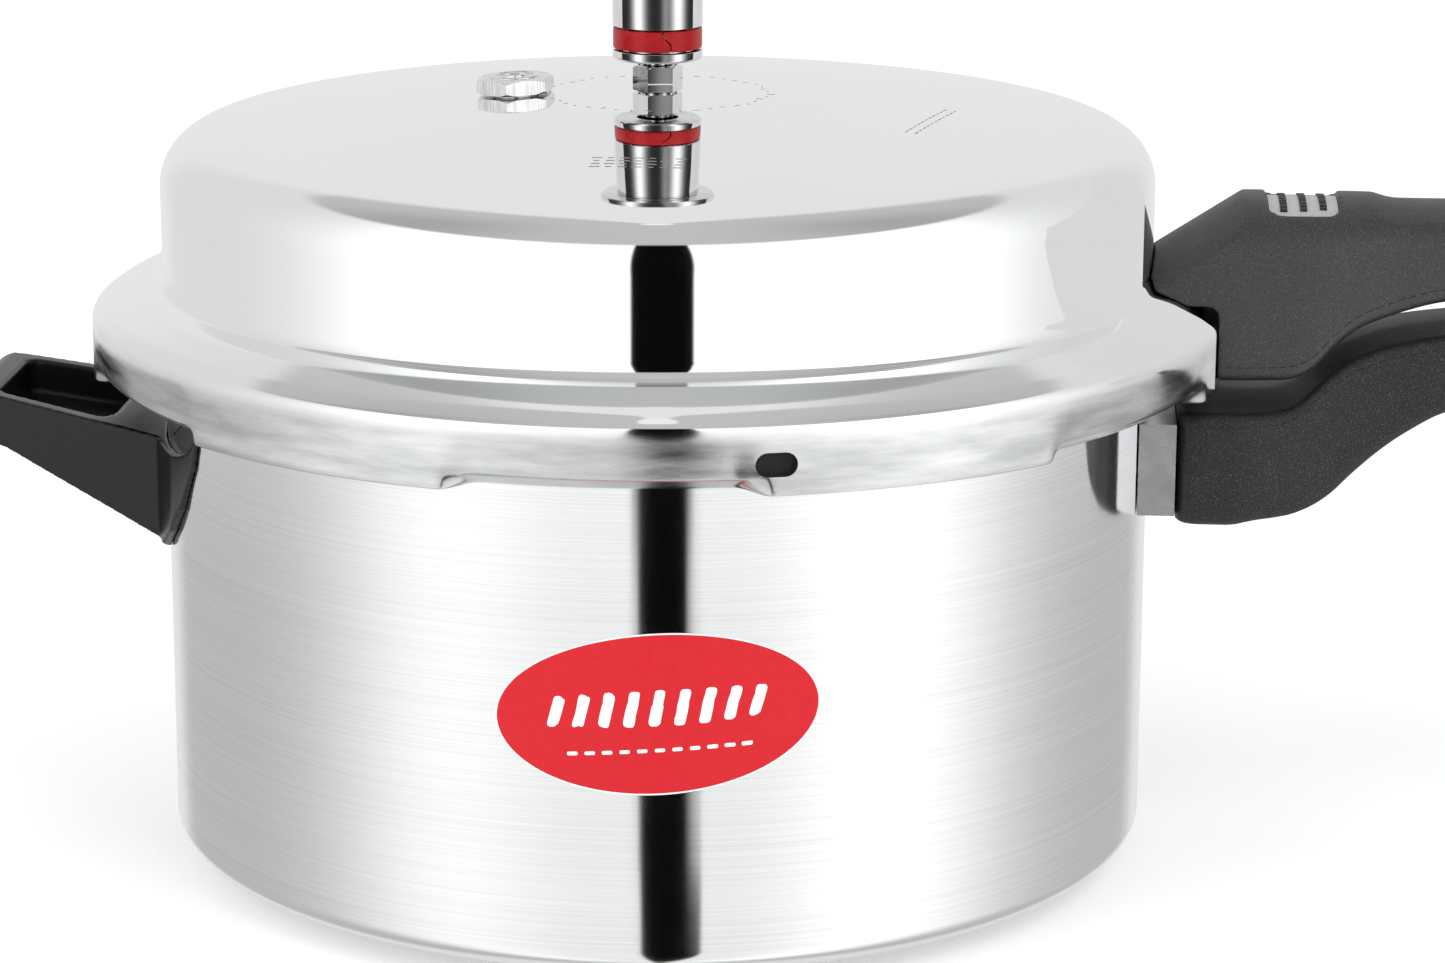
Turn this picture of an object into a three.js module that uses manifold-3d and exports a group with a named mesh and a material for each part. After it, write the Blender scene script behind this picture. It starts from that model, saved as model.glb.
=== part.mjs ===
// Stovetop pressure cooker with an outer, bayonet-locked lid. Millimetres, +Z up.
// The origin is the centre of the pot's flat base. The two long handles point along +X and the
// helper handle along -X. Azimuths are measured from +X towards -Y, seen from above.
import * as THREE from 'three';
import { mergeVertices } from 'three/addons/utils/BufferGeometryUtils.js';
import Module from 'manifold-3d';

const wasm = await Module();
wasm.setup();

// ---------------------------------------------------------------- driving dimensions
const GAP = 0.3;                 // clearance between pieces that touch
const ROUND = 48;                // facets round the pot and the lid
const SMALL_ROUND = 20;          // facets round screws, rivets and valves

const POT = {
  radius: 110, wall: 3, floor: 3.4, cornerWidth: 28, cornerHeight: 10,
  rimTop: 117, rimUnderside: 114.3, rimRadius: 114.5, lugRadius: 121.8, lugHalfAngle: 14.5,
};
const LID = {
  capRadius: 110.15, wall: 2.7, shoulder: 11.8, shoulderCentre: 152.9, apex: 172, dome: 7.4e-4,
  skirtRadius: 125.8, skirtWall: 2.6, skirtBottom: 110.8,
  lugHalfAngle: 15, lugInner: 115.5, lugUnderside: 111.5, lugTop: 114, lugBend: 115.2,
};
const LUG_COUNT = 6;
const FIRST_LUG = 30;            // azimuth of the first lug's middle, in degrees
const SLOT = { azimuth: 74.2, height: 117.4, length: 8.6, width: 5 };
const VENT = { collar: 5.55, collarTop: 177.9, neck: 3.1, neckTop: 191, bore: 1.2, shank: 4, foot: 157 };
const WEIGHT = {
  radius: 10, bottom: 179.3, bandLow: 181.4, bandHigh: 186.7, groove: 1.6, bodyTop: 208.8,
  mouth: 4.7, chamber: 198.8, guide: 2.6, guideTop: 204.8, flange: 14, flangeTop: 213.7,
};
const SAFETY = {
  x: -31.5, y: -1, hex: 9, hexHeight: 3.4, hexTurn: 24, ring: 5.7, boss: 2.65, shank: 5, foot: 13, plug: 1.7,
};
const HANDLE_END = 285;          // outer end of both long handles

// ---------------------------------------------------------------- materials
const finish = (color, roughness, metalness) =>
  new THREE.MeshStandardMaterial({ color, roughness, metalness });
const LOOK = {
  satinAluminium: [0xc9cacb, 0.34, 1],
  polishedAluminium: [0xdcdddf, 0.16, 1],
  bakelite: [0x232323, 0.62, 0],
  glossBakelite: [0x121212, 0.28, 0],
  chrome: [0xe6e6e8, 0.06, 1],
  steel: [0xb4b6b8, 0.3, 1],
  silicone: [0xc4181c, 0.45, 0],
  rubber: [0x1b1b1b, 0.7, 0],
  fusibleAlloy: [0x9a9a96, 0.45, 1],
  label: [0x8f9091, 0.4, 0.3],
};

// ---------------------------------------------------------------- shape helpers
const radians = (degrees) => degrees * Math.PI / 180;

function solid(geometry) {
  const bare = geometry.index ? geometry.toNonIndexed() : geometry.clone();
  bare.deleteAttribute('normal');
  bare.deleteAttribute('uv');
  const merged = mergeVertices(bare, 1e-4);
  return new wasm.Manifold(new wasm.Mesh({
    numProp: 3,
    vertProperties: new Float32Array(merged.attributes.position.array),
    triVerts: new Uint32Array(merged.index.array),
  }));
}

function geometryOf(manifold) {
  const mesh = manifold.getMesh();
  const geometry = new THREE.BufferGeometry();
  geometry.setAttribute('position', new THREE.BufferAttribute(new Float32Array(mesh.vertProperties), 3));
  geometry.setIndex(new THREE.BufferAttribute(new Uint32Array(mesh.triVerts), 1));
  geometry.computeVertexNormals();
  return geometry;
}

// Revolves an (r, z) profile, listed anticlockwise, about the Z axis.
function revolve(profile, segments = ROUND) {
  const points = profile.map(([r, z]) => new THREE.Vector2(r, z));
  return new THREE.LatheGeometry(points, segments).rotateX(Math.PI / 2);
}

function closed(profile) {
  return [...profile, profile[0]];
}

function outline(points) {
  return new THREE.Shape(points.map(([a, b]) => new THREE.Vector2(a, b)));
}

function slab(shape, low, high, curveSegments = 8) {
  const settings = { depth: high - low, bevelEnabled: false, curveSegments };
  return new THREE.ExtrudeGeometry(shape, settings).translate(0, 0, low);
}

// Extrusions of a side view (x, z), a plan view (x, y) and an end view (y, z).
const REACH = 320;
const fromSide = (points) => solid(slab(outline(points), -REACH, REACH).rotateX(Math.PI / 2));
const fromPlan = (points) => solid(slab(outline(points), -REACH, REACH));
const alongX = (geometry) => geometry.rotateX(Math.PI / 2).rotateZ(Math.PI / 2);
const fromEnd = (points) => solid(alongX(slab(outline(points), -REACH, REACH)));

function block([x0, y0, z0], [x1, y1, z1]) {
  const box = new THREE.BoxGeometry(x1 - x0, y1 - y0, z1 - z0);
  return solid(box.translate((x0 + x1) / 2, (y0 + y1) / 2, (z0 + z1) / 2));
}

function post(radius, low, high, x = 0, y = 0, segments = SMALL_ROUND) {
  const cylinder = new THREE.CylinderGeometry(radius, radius, high - low, segments);
  return solid(cylinder.rotateX(Math.PI / 2).translate(x, y, (low + high) / 2));
}

// A ring sector between two radii, centred on an azimuth.
function sector(inner, outer, azimuth, halfAngle, low, high) {
  const from = radians(-azimuth - halfAngle);
  const to = radians(-azimuth + halfAngle);
  const shape = new THREE.Shape();
  shape.absarc(0, 0, outer, from, to, false);
  shape.absarc(0, 0, inner, to, from, true);
  return solid(slab(shape, low, high, 5));
}

function aroundLugs(make) {
  return Array.from({ length: LUG_COUNT }, (_, i) => make(FIRST_LUG + i * 360 / LUG_COUNT));
}

const joined = (solids) => solids.reduce((all, next) => all.add(next));
// Completes a half outline: an end view across its vertical axis, a plan view across the X axis.
const mirroredEnd = (points) => [...points, ...points.map(([y, z]) => [-y, z]).reverse()];
const mirroredPlan = (points) => [...points, ...points.map(([x, y]) => [x, -y]).reverse()];
const domeHeight = (r) => LID.apex - LID.dome * r * r;

function arc(centreR, centreZ, radius, fromDegrees, toDegrees, steps) {
  return Array.from({ length: steps + 1 }, (_, i) => {
    const angle = radians(fromDegrees + (toDegrees - fromDegrees) * i / steps);
    return [centreR + radius * Math.cos(angle), centreZ + radius * Math.sin(angle)];
  });
}

// ---------------------------------------------------------------- pot
function potCorner(radius, width, height, base, steps) {
  return Array.from({ length: steps + 1 }, (_, i) => {
    const angle = Math.PI / 2 * i / steps;
    return [radius - width + width * Math.sin(angle), base + height - height * Math.cos(angle)];
  });
}

function potBody() {
  const inside = POT.radius - POT.wall;
  const profile = [
    [0, 0],
    ...potCorner(POT.radius, POT.cornerWidth, POT.cornerHeight, 0, 5),
    [POT.radius, POT.rimUnderside - 1.5],
    [POT.radius + 1.5, POT.rimUnderside],
    [POT.rimRadius, POT.rimUnderside],
    [POT.rimRadius, POT.rimTop],
    [inside, POT.rimTop],
    ...potCorner(inside, POT.cornerWidth - 4, POT.cornerHeight - 2, POT.floor, 4).reverse(),
    [0, POT.floor],
  ];
  const lugs = aroundLugs((azimuth) =>
    sector(112, POT.lugRadius, azimuth, POT.lugHalfAngle, POT.rimUnderside, POT.rimTop));
  let pot = joined([solid(revolve(profile)), ...lugs]);
  for (const hole of [...rivetHoles(BODY_RIVETS), ...rivetHoles(HELPER_RIVETS)]) {
    pot = pot.subtract(hole);
  }
  return pot;
}

// ---------------------------------------------------------------- rivets through the pot and lid walls
const BODY_RIVETS = {
  azimuths: [-8, 8], height: 92, radius: 3, inner: 106.8, tip: 114.2, head: 5.5, dome: 1.8,
};
const HELPER_RIVETS = {
  azimuths: [173, 187], height: 84, radius: 2.6, inner: 106.8, tip: 113.6, head: 5, dome: 1.6,
};
const LID_RIVETS = {
  azimuths: [-2, 2], height: 134.9, radius: 1.3, inner: 107.45, tip: 113.4, head: 2, dome: 0.9,
};

function radial(geometry, azimuth, height) {
  return geometry.rotateY(Math.PI / 2).rotateZ(radians(-azimuth)).translate(0, 0, height);
}

function rivet(spec, azimuth) {
  const back = spec.inner - GAP;
  const profile = [
    [0, back - spec.dome],
    [spec.head * 0.6, back - spec.dome * 0.8],
    [spec.head, back - spec.dome * 0.25],
    [spec.head, back],
    [spec.radius, back],
    [spec.radius, spec.tip - 0.6],
    [spec.radius - 0.6, spec.tip],
    [0, spec.tip],
  ];
  return radial(revolve(profile, 16), azimuth, spec.height);
}

function rivetHoles(spec) {
  return spec.azimuths.map((azimuth) => {
    const low = spec.inner - 4;
    const high = spec.tip + GAP;
    const hole = new THREE.CylinderGeometry(spec.radius + GAP, spec.radius + GAP, high - low, 16);
    return solid(radial(hole.rotateX(Math.PI / 2).translate(0, 0, (low + high) / 2), azimuth, spec.height));
  });
}

// ---------------------------------------------------------------- long body handle and its bracket
const BRACKET = { halfWidth: 24, low: 83.5, high: 104, end: 115.7 };
const TONGUE = { end: 147, halfWidth: 10, low: 89, high: 98 };
const BODY_SCREW = { x: 138, head: 4.6, shank: 2.2, seat: 86.4, top: 100 };

const potClearance = () => post(POT.radius + GAP, -10, 150, 0, 0, 96);

function bodyHandleBracket() {
  const base = block([100, -BRACKET.halfWidth, BRACKET.low], [BRACKET.end, BRACKET.halfWidth, BRACKET.high]);
  const tongue = block([112, -TONGUE.halfWidth, TONGUE.low], [TONGUE.end, TONGUE.halfWidth, TONGUE.high]);
  let bracket = base.add(tongue).subtract(potClearance());
  for (const hole of rivetHoles(BODY_RIVETS)) {
    bracket = bracket.subtract(hole);
  }
  return bracket.subtract(post(BODY_SCREW.shank + GAP, 80, 110, BODY_SCREW.x, 0, 16));
}

function bodyHandle() {
  const side = fromSide([
    [116, 83.5], [118.5, 81.5], [126.7, 81.5], [131.8, 82.4], [142, 83.8], [148.3, 86.7], [154, 91.9],
    [159.6, 96.8], [165.4, 101], [173.7, 105.6], [186, 108.8], [204, 110], [262, 109.5], [276, 111],
    [283, 114.2], [HANDLE_END, 118.3], [283, 122.2], [277, 124.6], [262, 125.6], [200, 125.2],
    [185, 124.4], [173, 122.7], [160.6, 120.5], [152.9, 117.5], [145.7, 112], [140.4, 107.8],
    [128, 106.4], [117.5, 106.4], [116, 105],
  ]);
  const edge = [
    [116, 24.5], [118, 26], [126, 26], [138, 24], [150, 20.5], [165, 18], [195, 16.5], [235, 17],
    [262, 18.5], [276, 17], [283, 11], [HANDLE_END, 4],
  ];
  const plan = fromPlan(mirroredPlan(edge));
  const end = fromEnd(mirroredEnd([[22, 81], [26, 84.5], [26, 121.5], [22.5, 126]]));
  const socket = block(
    [115, -TONGUE.halfWidth - GAP, TONGUE.low - GAP],
    [TONGUE.end + 1, TONGUE.halfWidth + GAP, TONGUE.high + GAP]);
  const screwHole = post(BODY_SCREW.head + 0.5, 75, BODY_SCREW.seat, BODY_SCREW.x, 0)
    .add(post(BODY_SCREW.shank + GAP, 80, BODY_SCREW.top + 1, BODY_SCREW.x, 0, 16));
  return side.intersect(plan).intersect(end).subtract(socket).subtract(screwHole);
}

// A pan-head screw, driven upwards, with a cross slot in its head.
function screw(spec, headHeight) {
  const bottom = spec.seat - GAP - headHeight;
  const seat = spec.seat - GAP;
  const profile = [
    [0, bottom],
    [spec.head * 0.7, bottom],
    [spec.head, bottom + headHeight * 0.45],
    [spec.head, seat],
    [spec.shank, seat],
    [spec.shank, spec.top - 1],
    [spec.shank - 1, spec.top],
    [0, spec.top],
  ];
  const arm = spec.head * 0.55;
  const cross = block([-arm, -0.45, bottom - 1], [arm, 0.45, bottom + 1.2])
    .add(block([-0.45, -arm, bottom - 1], [0.45, arm, bottom + 1.2]));
  return solid(revolve(profile, 20)).subtract(cross).translate([spec.x, 0, 0]);
}

// ---------------------------------------------------------------- helper handle and its bracket
const HELPER_TONGUE = { end: -127, halfWidth: 9, low: 86, high: 89.4 };
const HELPER_SCREW = { x: -119.5, head: 4, shank: 1.9, seat: 83.6, top: 90.2 };
const POCKET = { inner: -121, outer: -147.5, depth: 8 };
const gripTop = (x) => 97 + (-105 - x) * Math.tan(radians(10.4));

function helperBracket() {
  const base = block([-113.5, -17.5, 78], [-100, 17.5, 91]);
  const tongue = block(
    [HELPER_TONGUE.end, -HELPER_TONGUE.halfWidth, HELPER_TONGUE.low],
    [-111, HELPER_TONGUE.halfWidth, HELPER_TONGUE.high]);
  let bracket = base.add(tongue).subtract(potClearance());
  for (const hole of rivetHoles(HELPER_RIVETS)) {
    bracket = bracket.subtract(hole);
  }
  return bracket.subtract(post(HELPER_SCREW.shank + GAP, 80, 95, HELPER_SCREW.x, 0, 16));
}

function helperHandle() {
  const side = fromSide([
    [-85, 73], [-106.2, 73], [-145, 92.8], [-152, 94.4], [-155.8, 96.6], [-157.3, 100], [-156, 103.6],
    [-152.5, 105.4], [-146, gripTop(-146)], [-105, 97], [-101, 97.4], [-97.5, 100], [-94, 105.4], [-85, 106],
  ]);
  const edge = [
    [-157.3, 10], [-155, 15.5], [-151, 19], [-145, 21.4], [-109, 28], [-103.6, 43.4], [-94.8, 58], [-85, 58],
  ];
  const plan = fromPlan(mirroredPlan(edge));
  const end = fromEnd(mirroredEnd([[29.5, 72.9], [40, 79.3], [48.5, 86.4], [55.8, 97.3], [59, 106]]));
  const pocketPlan = fromPlan(mirroredPlan([
    [POCKET.outer, 13.5], [POCKET.outer + 3.5, 17], [POCKET.inner - 2, 21], [POCKET.inner, 19],
  ]));
  const pocketSide = fromSide([
    [POCKET.inner, gripTop(POCKET.inner) - POCKET.depth],
    [POCKET.outer, gripTop(POCKET.outer) - POCKET.depth],
    [POCKET.outer, 130],
    [POCKET.inner, 130],
  ]);
  const bracketSpace = block([-113.5 - GAP, -17.5 - GAP, 78 - GAP], [-95, 17.5 + GAP, 91 + GAP]);
  const socket = block(
    [HELPER_TONGUE.end - 1, -HELPER_TONGUE.halfWidth - GAP, HELPER_TONGUE.low - GAP],
    [-110, HELPER_TONGUE.halfWidth + GAP, HELPER_TONGUE.high + GAP]);
  const screwHole = post(HELPER_SCREW.head + 0.5, 70, HELPER_SCREW.seat, HELPER_SCREW.x, 0)
    .add(post(HELPER_SCREW.shank + GAP, 80, HELPER_SCREW.top + 0.6, HELPER_SCREW.x, 0, 16));
  return side.intersect(plan).intersect(end)
    .subtract(potClearance())
    .subtract(pocketPlan.intersect(pocketSide))
    .subtract(bracketSpace)
    .subtract(socket)
    .subtract(screwHole);
}

// ---------------------------------------------------------------- lid
const CAP_FOOT = [[LID.skirtRadius, 122.8], [125.3, 124.7], [124, 126.3], [122, 127.7], [119, 129.4],
  [116, 130.8], [113, 131.9], [111, 132.8], [LID.capRadius, 134.6]];

function lidOuterProfile() {
  const shoulderR = LID.capRadius - LID.shoulder;
  const domeRadii = [72, 40, 0];
  return [
    ...CAP_FOOT,
    [LID.capRadius, LID.shoulderCentre],
    ...arc(shoulderR, LID.shoulderCentre, LID.shoulder, 20, 81.7, 3),
    ...domeRadii.map((r) => [r, domeHeight(r)]),
  ];
}

function lidInnerProfile() {
  const inside = LID.capRadius - LID.wall;
  const shoulderR = LID.capRadius - LID.shoulder;
  const domeRadii = [0, 40, 72];
  return [
    ...domeRadii.map((r) => [r, domeHeight(r) - LID.wall]),
    ...arc(shoulderR, LID.shoulderCentre, LID.shoulder - LID.wall, 81.7, 12, 3),
    [inside, LID.shoulderCentre],
    [inside, 133.2],
    [109.2, 130.6],
    [112.6, 129],
    [118, 126.8],
    [121.4, 124.6],
    [LID.skirtRadius - LID.skirtWall, 122],
  ];
}

function lid() {
  const skirtInner = LID.skirtRadius - LID.skirtWall;
  const shell = solid(revolve(closed([
    [skirtInner, LID.skirtBottom],
    [LID.skirtRadius, LID.skirtBottom],
    ...lidOuterProfile(),
    ...lidInnerProfile(),
  ])));
  const lugRing = solid(revolve(closed([
    [LID.lugInner, LID.lugUnderside],
    [120.8, LID.lugUnderside],
    [123.2, 112.6],
    [124.4, LID.lugBend],
    [125.3, 119],
    [122.9, 119],
    [122.4, LID.lugTop],
    [LID.lugInner, LID.lugTop],
  ])));
  const reliefs = aroundLugs((azimuth) =>
    sector(115, 128, azimuth, LID.lugHalfAngle + 1.6, 105, LID.lugBend));
  const lugSpans = aroundLugs((azimuth) => sector(110, 130, azimuth, LID.lugHalfAngle, 105, 125));
  let result = shell.subtract(joined(reliefs)).add(lugRing.intersect(joined(lugSpans)));
  result = result.subtract(gasketSlot());
  result = result.subtract(post(VENT.shank + GAP, 150, 190));
  result = result.subtract(safetyFrame(post(SAFETY.shank + GAP, -20, 20)));
  for (const hole of rivetHoles(LID_RIVETS)) {
    result = result.subtract(hole);
  }
  return result;
}

function gasketSlot() {
  const half = SLOT.length / 2 - SLOT.width / 2;
  const shape = new THREE.Shape();
  shape.absarc(half, 0, SLOT.width / 2, -Math.PI / 2, Math.PI / 2, false);
  shape.absarc(-half, 0, SLOT.width / 2, Math.PI / 2, Math.PI * 1.5, false);
  const cut = alongX(slab(shape, LID.skirtRadius - 4.8, LID.skirtRadius + 4.2, 6));
  cut.rotateZ(radians(-SLOT.azimuth));
  return solid(cut.translate(0, 0, SLOT.height));
}

// The space that the lid fills, grown by a small clearance, for cutting the lid handle.
function lidClearance() {
  const grow = 0.5;
  const grown = CAP_FOOT.map(([r, z]) => [r + grow, z + grow]);
  return solid(revolve([
    [0, 100],
    [LID.skirtRadius + grow, 100],
    ...grown,
    [LID.capRadius + grow, LID.shoulderCentre],
    [LID.capRadius + grow, 175],
    [0, 175],
  ], 96));
}

function sealingGasket() {
  return solid(revolve(closed([
    [109.6, 117.4], [112.5, 117.4], [118, 119.6], [119.2, 117.4], [122.7, 117.4], [122.7, 121.6],
    [117.6, 126], [110.2, 124],
  ]), 48));
}

// ---------------------------------------------------------------- lid handle, its bracket and its label
const LID_BRACKET = {
  halfWidth: 6.4, low: 133, plateHigh: 137.2, plateEnd: 114.6, end: 156, tongueHigh: 136.4,
};
const LID_SCREW = { x: 134, head: 4.4, shank: 2, seat: 122.4, top: 137.4 };
const WINDOW = { from: 134.4, to: 150.1, halfWidth: 12.5, depth: 1.7 };

function lidHandleBracket() {
  const { halfWidth, low } = LID_BRACKET;
  const plate = block([105, -halfWidth, low], [LID_BRACKET.plateEnd, halfWidth, LID_BRACKET.plateHigh]);
  const tongue = block([112, -halfWidth, low], [LID_BRACKET.end, halfWidth, LID_BRACKET.tongueHigh]);
  let bracket = plate.add(tongue).subtract(lidClearance());
  for (const hole of rivetHoles(LID_RIVETS)) {
    bracket = bracket.subtract(hole);
  }
  return bracket.subtract(post(LID_SCREW.shank + GAP, 120, 140, LID_SCREW.x, 0, 16));
}

// A long cutter with a crowned underside, which slopes down from its start towards -X.
function crownCutter(x, z, slopeDegrees, crown, length) {
  const halfWidths = [30, 22, 15, 8, 0];
  const under = halfWidths.map((y) => [y, -crown * y * y]);
  const section = mirroredEnd([[30, 40], ...under]);
  const cutter = alongX(slab(outline(section), -2, length));
  return solid(cutter.rotateY(radians(-slopeDegrees)).translate(x, 0, z));
}

function lidHandleBlank() {
  const side = fromSide([
    [105, 129.3], [121, 129.3], [123, 128.6], [124, 127], [124.3, 114.5], [125.8, 113], [141, 113.6],
    [146, 117], [149, 120.5], [154, 124.2], [160.5, 126.8], [172.7, 130.2], [190, 132], [262, 132.2],
    [275, 133.4], [283, 137], [HANDLE_END, 141], [283.5, 145], [278, 148.6], [264, 150.4], [200, 150.4],
    [164, 150.2], [158, 151.2], [105, 151.2],
  ]);
  const edge = [
    [105, 22], [142, 22], [152, 19.5], [165, 17.2], [195, 15.5], [235, 16], [262, 17.5], [276, 16],
    [283, 10.5], [HANDLE_END, 4],
  ];
  const plan = fromPlan(mirroredPlan(edge));
  const end = fromEnd(mirroredEnd([
    [19, 112], [22, 115.5], [22, 127], [20.5, 136.5], [17, 143.5], [12.4, 148], [6.6, 150.6],
  ]));
  const nose = crownCutter(110.6, 139.3, 33, 0.017, 60);
  const ridge = crownCutter(162, 150.2, 0, 0.019, 130);
  return side.intersect(plan).intersect(end).subtract(nose).subtract(ridge);
}

const belowWindow = () => block([0, -40, 0], [300, 40, 140]);

function windowPrism(inset) {
  const low = WINDOW.from + inset;
  const high = WINDOW.to - inset;
  const half = WINDOW.halfWidth - inset;
  const corner = 3;
  return fromPlan([
    [low + corner, -half], [high - corner, -half], [high, -half + corner], [high, half - corner],
    [high - corner, half], [low + corner, half], [low, half - corner], [low, -half + corner],
  ]);
}

function lidHandle() {
  const blank = lidHandleBlank();
  const half = LID_BRACKET.halfWidth + GAP;
  const recess = windowPrism(0)
    .subtract(blank.translate([0, 0, -WINDOW.depth]))
    .subtract(belowWindow());
  const bracketSpace = block(
    [100, -half, 128], [LID_BRACKET.plateEnd + GAP, half, LID_BRACKET.plateHigh + GAP]);
  const socket = block(
    [112, -half, LID_BRACKET.low - GAP], [LID_BRACKET.end + 1, half, LID_BRACKET.tongueHigh + GAP]);
  const screwHole = post(LID_SCREW.head + 0.5, 100, LID_SCREW.seat, LID_SCREW.x, 0)
    .add(post(LID_SCREW.shank + GAP, 110, LID_SCREW.top + 0.6, LID_SCREW.x, 0, 16));
  return blank.subtract(lidClearance())
    .subtract(recess)
    .subtract(bracketSpace)
    .subtract(socket)
    .subtract(screwHole);
}

function labelPlate() {
  const blank = lidHandleBlank();
  return windowPrism(GAP)
    .intersect(blank.translate([0, 0, -0.5]))
    .subtract(blank.translate([0, 0, GAP - WINDOW.depth]))
    .subtract(belowWindow());
}

// ---------------------------------------------------------------- vent tube and its fixings
const HEX_TURN = 12;              // degrees that the vent tube's hexagons are turned about their axis
const WASHER = 1.2;              // thickness of the vent tube's washer

function hexagon(radius, low, high, turn = HEX_TURN) {
  const prism = new THREE.CylinderGeometry(radius, radius, high - low, 6).rotateX(Math.PI / 2);
  return solid(prism.rotateZ(radians(turn)).translate(0, 0, (low + high) / 2));
}

const underLid = domeHeight(0) - LID.wall;

const needleSeat = () => solid(revolve([
  [0, VENT.neckTop - 2.4], [VENT.bore, VENT.neckTop - 2.4], [2.1, VENT.neckTop + 1], [0, VENT.neckTop + 1],
], 16));

function ventTube() {
  const foot = LID.apex + GAP;
  const collar = hexagon(VENT.collar, foot, VENT.collarTop);
  const chamfer = solid(revolve([
    [0, foot], [VENT.collar, foot], [VENT.collar, VENT.collarTop - 0.7],
    [VENT.collar - 0.9, VENT.collarTop], [0, VENT.collarTop],
  ], SMALL_ROUND));
  const neck = solid(revolve([
    [0, VENT.foot], [VENT.shank, VENT.foot], [VENT.shank, foot + 0.1], [VENT.neck, foot + 0.4],
    [VENT.neck, VENT.neckTop - 0.8], [VENT.neck - 0.8, VENT.neckTop], [0, VENT.neckTop],
  ], SMALL_ROUND));
  const recess = solid(revolve(closed([
    [VENT.neck, VENT.collarTop - 1.2], [4.2, VENT.collarTop - 1.2], [4.2, 180], [VENT.neck, 180],
  ]), SMALL_ROUND));
  return collar.intersect(chamfer).subtract(recess).add(neck)
    .subtract(post(VENT.bore, 150, VENT.neckTop - 1.4, 0, 0, 12))
    .subtract(needleSeat());
}

function washer(inner, outer, low, high) {
  return solid(revolve(closed([[inner, low], [outer, low], [outer, high], [inner, high]]), SMALL_ROUND));
}

function ventNut() {
  const top = underLid - GAP - WASHER - GAP;
  return hexagon(8.2, top - 4.5, top).subtract(post(VENT.shank + GAP, 140, 190));
}

// ---------------------------------------------------------------- safety valve, square to the domed lid
function safetyFrame(manifold) {
  const radius = Math.hypot(SAFETY.x, SAFETY.y);
  const tilt = Math.atan(2 * LID.dome * radius) * 180 / Math.PI;
  return manifold.rotate([0, -tilt, 0]).translate([SAFETY.x, SAFETY.y, domeHeight(radius)]);
}

function safetyBody() {
  const seat = 0.35;
  const top = seat + SAFETY.hexHeight;
  const chamfer = solid(revolve([
    [0, seat], [SAFETY.hex - 0.5, seat], [SAFETY.hex, seat + 0.4], [SAFETY.hex, top - 0.7],
    [SAFETY.hex - 1.5, top], [0, top],
  ], SMALL_ROUND));
  const stem = solid(revolve([
    [0, -SAFETY.foot], [SAFETY.shank, -SAFETY.foot], [SAFETY.shank, seat + 1], [SAFETY.ring, seat + 1],
    [SAFETY.ring, top + 0.1], [SAFETY.ring - 0.5, top + 0.4], [4.4, top + 0.4], [4.1, top - 0.3],
    [SAFETY.boss, top - 0.3], [SAFETY.boss, top + 0.5], [0, top + 0.5],
  ], SMALL_ROUND));
  const body = hexagon(SAFETY.hex, seat, top, SAFETY.hexTurn).intersect(chamfer).add(stem);
  const plugHole = post(SAFETY.plug, -30, 30, 0, 0, 16);
  return safetyFrame(body.subtract(plugHole));
}

const UNDER_SAFETY = -LID.wall - 0.5;

function safetyWasher() {
  return safetyFrame(washer(SAFETY.shank + GAP, 9.5, UNDER_SAFETY - 2, UNDER_SAFETY));
}

function safetyNut() {
  const top = UNDER_SAFETY - 2 - GAP;
  return safetyFrame(hexagon(9.4, top - 5, top, SAFETY.hexTurn).subtract(post(SAFETY.shank + GAP, -30, 30)));
}

function fusiblePlug() {
  return safetyFrame(post(SAFETY.plug - GAP, -SAFETY.foot + 0.5, SAFETY.hexHeight + 0.5, 0, 0, 12));
}

// ---------------------------------------------------------------- weight that regulates the pressure
function weightBody() {
  const waist = WEIGHT.radius - WEIGHT.groove;
  return revolve(closed([
    [WEIGHT.mouth, WEIGHT.bottom],
    [WEIGHT.radius - 0.5, WEIGHT.bottom],
    [WEIGHT.radius, WEIGHT.bottom + 0.5],
    [WEIGHT.radius, WEIGHT.bandLow],
    [waist, WEIGHT.bandLow],
    [waist, WEIGHT.bandHigh],
    [WEIGHT.radius, WEIGHT.bandHigh],
    [WEIGHT.radius, WEIGHT.bodyTop],
    [WEIGHT.guide, WEIGHT.bodyTop],
    [WEIGHT.guide, WEIGHT.chamber],
    [WEIGHT.mouth, WEIGHT.chamber],
  ]), 32);
}

function weightBand() {
  const low = WEIGHT.bandLow + GAP;
  const high = WEIGHT.bandHigh - GAP;
  const inner = WEIGHT.radius - WEIGHT.groove + GAP;
  const ring = washer(inner, WEIGHT.radius - 0.1, low, high);
  return ring.subtract(block([-0.2, -14, low - 1], [0.2, -5, high + 1]));
}

function weightCap() {
  const seat = WEIGHT.bodyTop + GAP;
  return revolve([
    [0, seat],
    [WEIGHT.radius, seat],
    [WEIGHT.flange, seat + 0.5],
    [WEIGHT.flange, WEIGHT.flangeTop - 0.6],
    [WEIGHT.flange - 0.6, WEIGHT.flangeTop],
    [4.2, WEIGHT.flangeTop],
    [3.6, WEIGHT.flangeTop + 1.2],
    [0, WEIGHT.flangeTop + 1.5],
  ], 32);
}

function ventNeedle() {
  const seat = VENT.neckTop + GAP;
  return revolve([
    [0, VENT.neckTop - 1.6],
    [0.5, VENT.neckTop - 1.5],
    [1.1, VENT.neckTop - 0.2],
    [1.3, seat],
    [3.6, seat],
    [3.6, seat + 1.5],
    [2.1, seat + 2.2],
    [2.1, WEIGHT.guideTop],
    [0, WEIGHT.guideTop],
  ], 16);
}

// ---------------------------------------------------------------- assembly
const cooker = new THREE.Group();

function add(name, look, shape) {
  const geometry = shape.isBufferGeometry ? shape : geometryOf(shape);
  const mesh = new THREE.Mesh(geometry, finish(...LOOK[look]));
  mesh.name = name;
  cooker.add(mesh);
}

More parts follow.
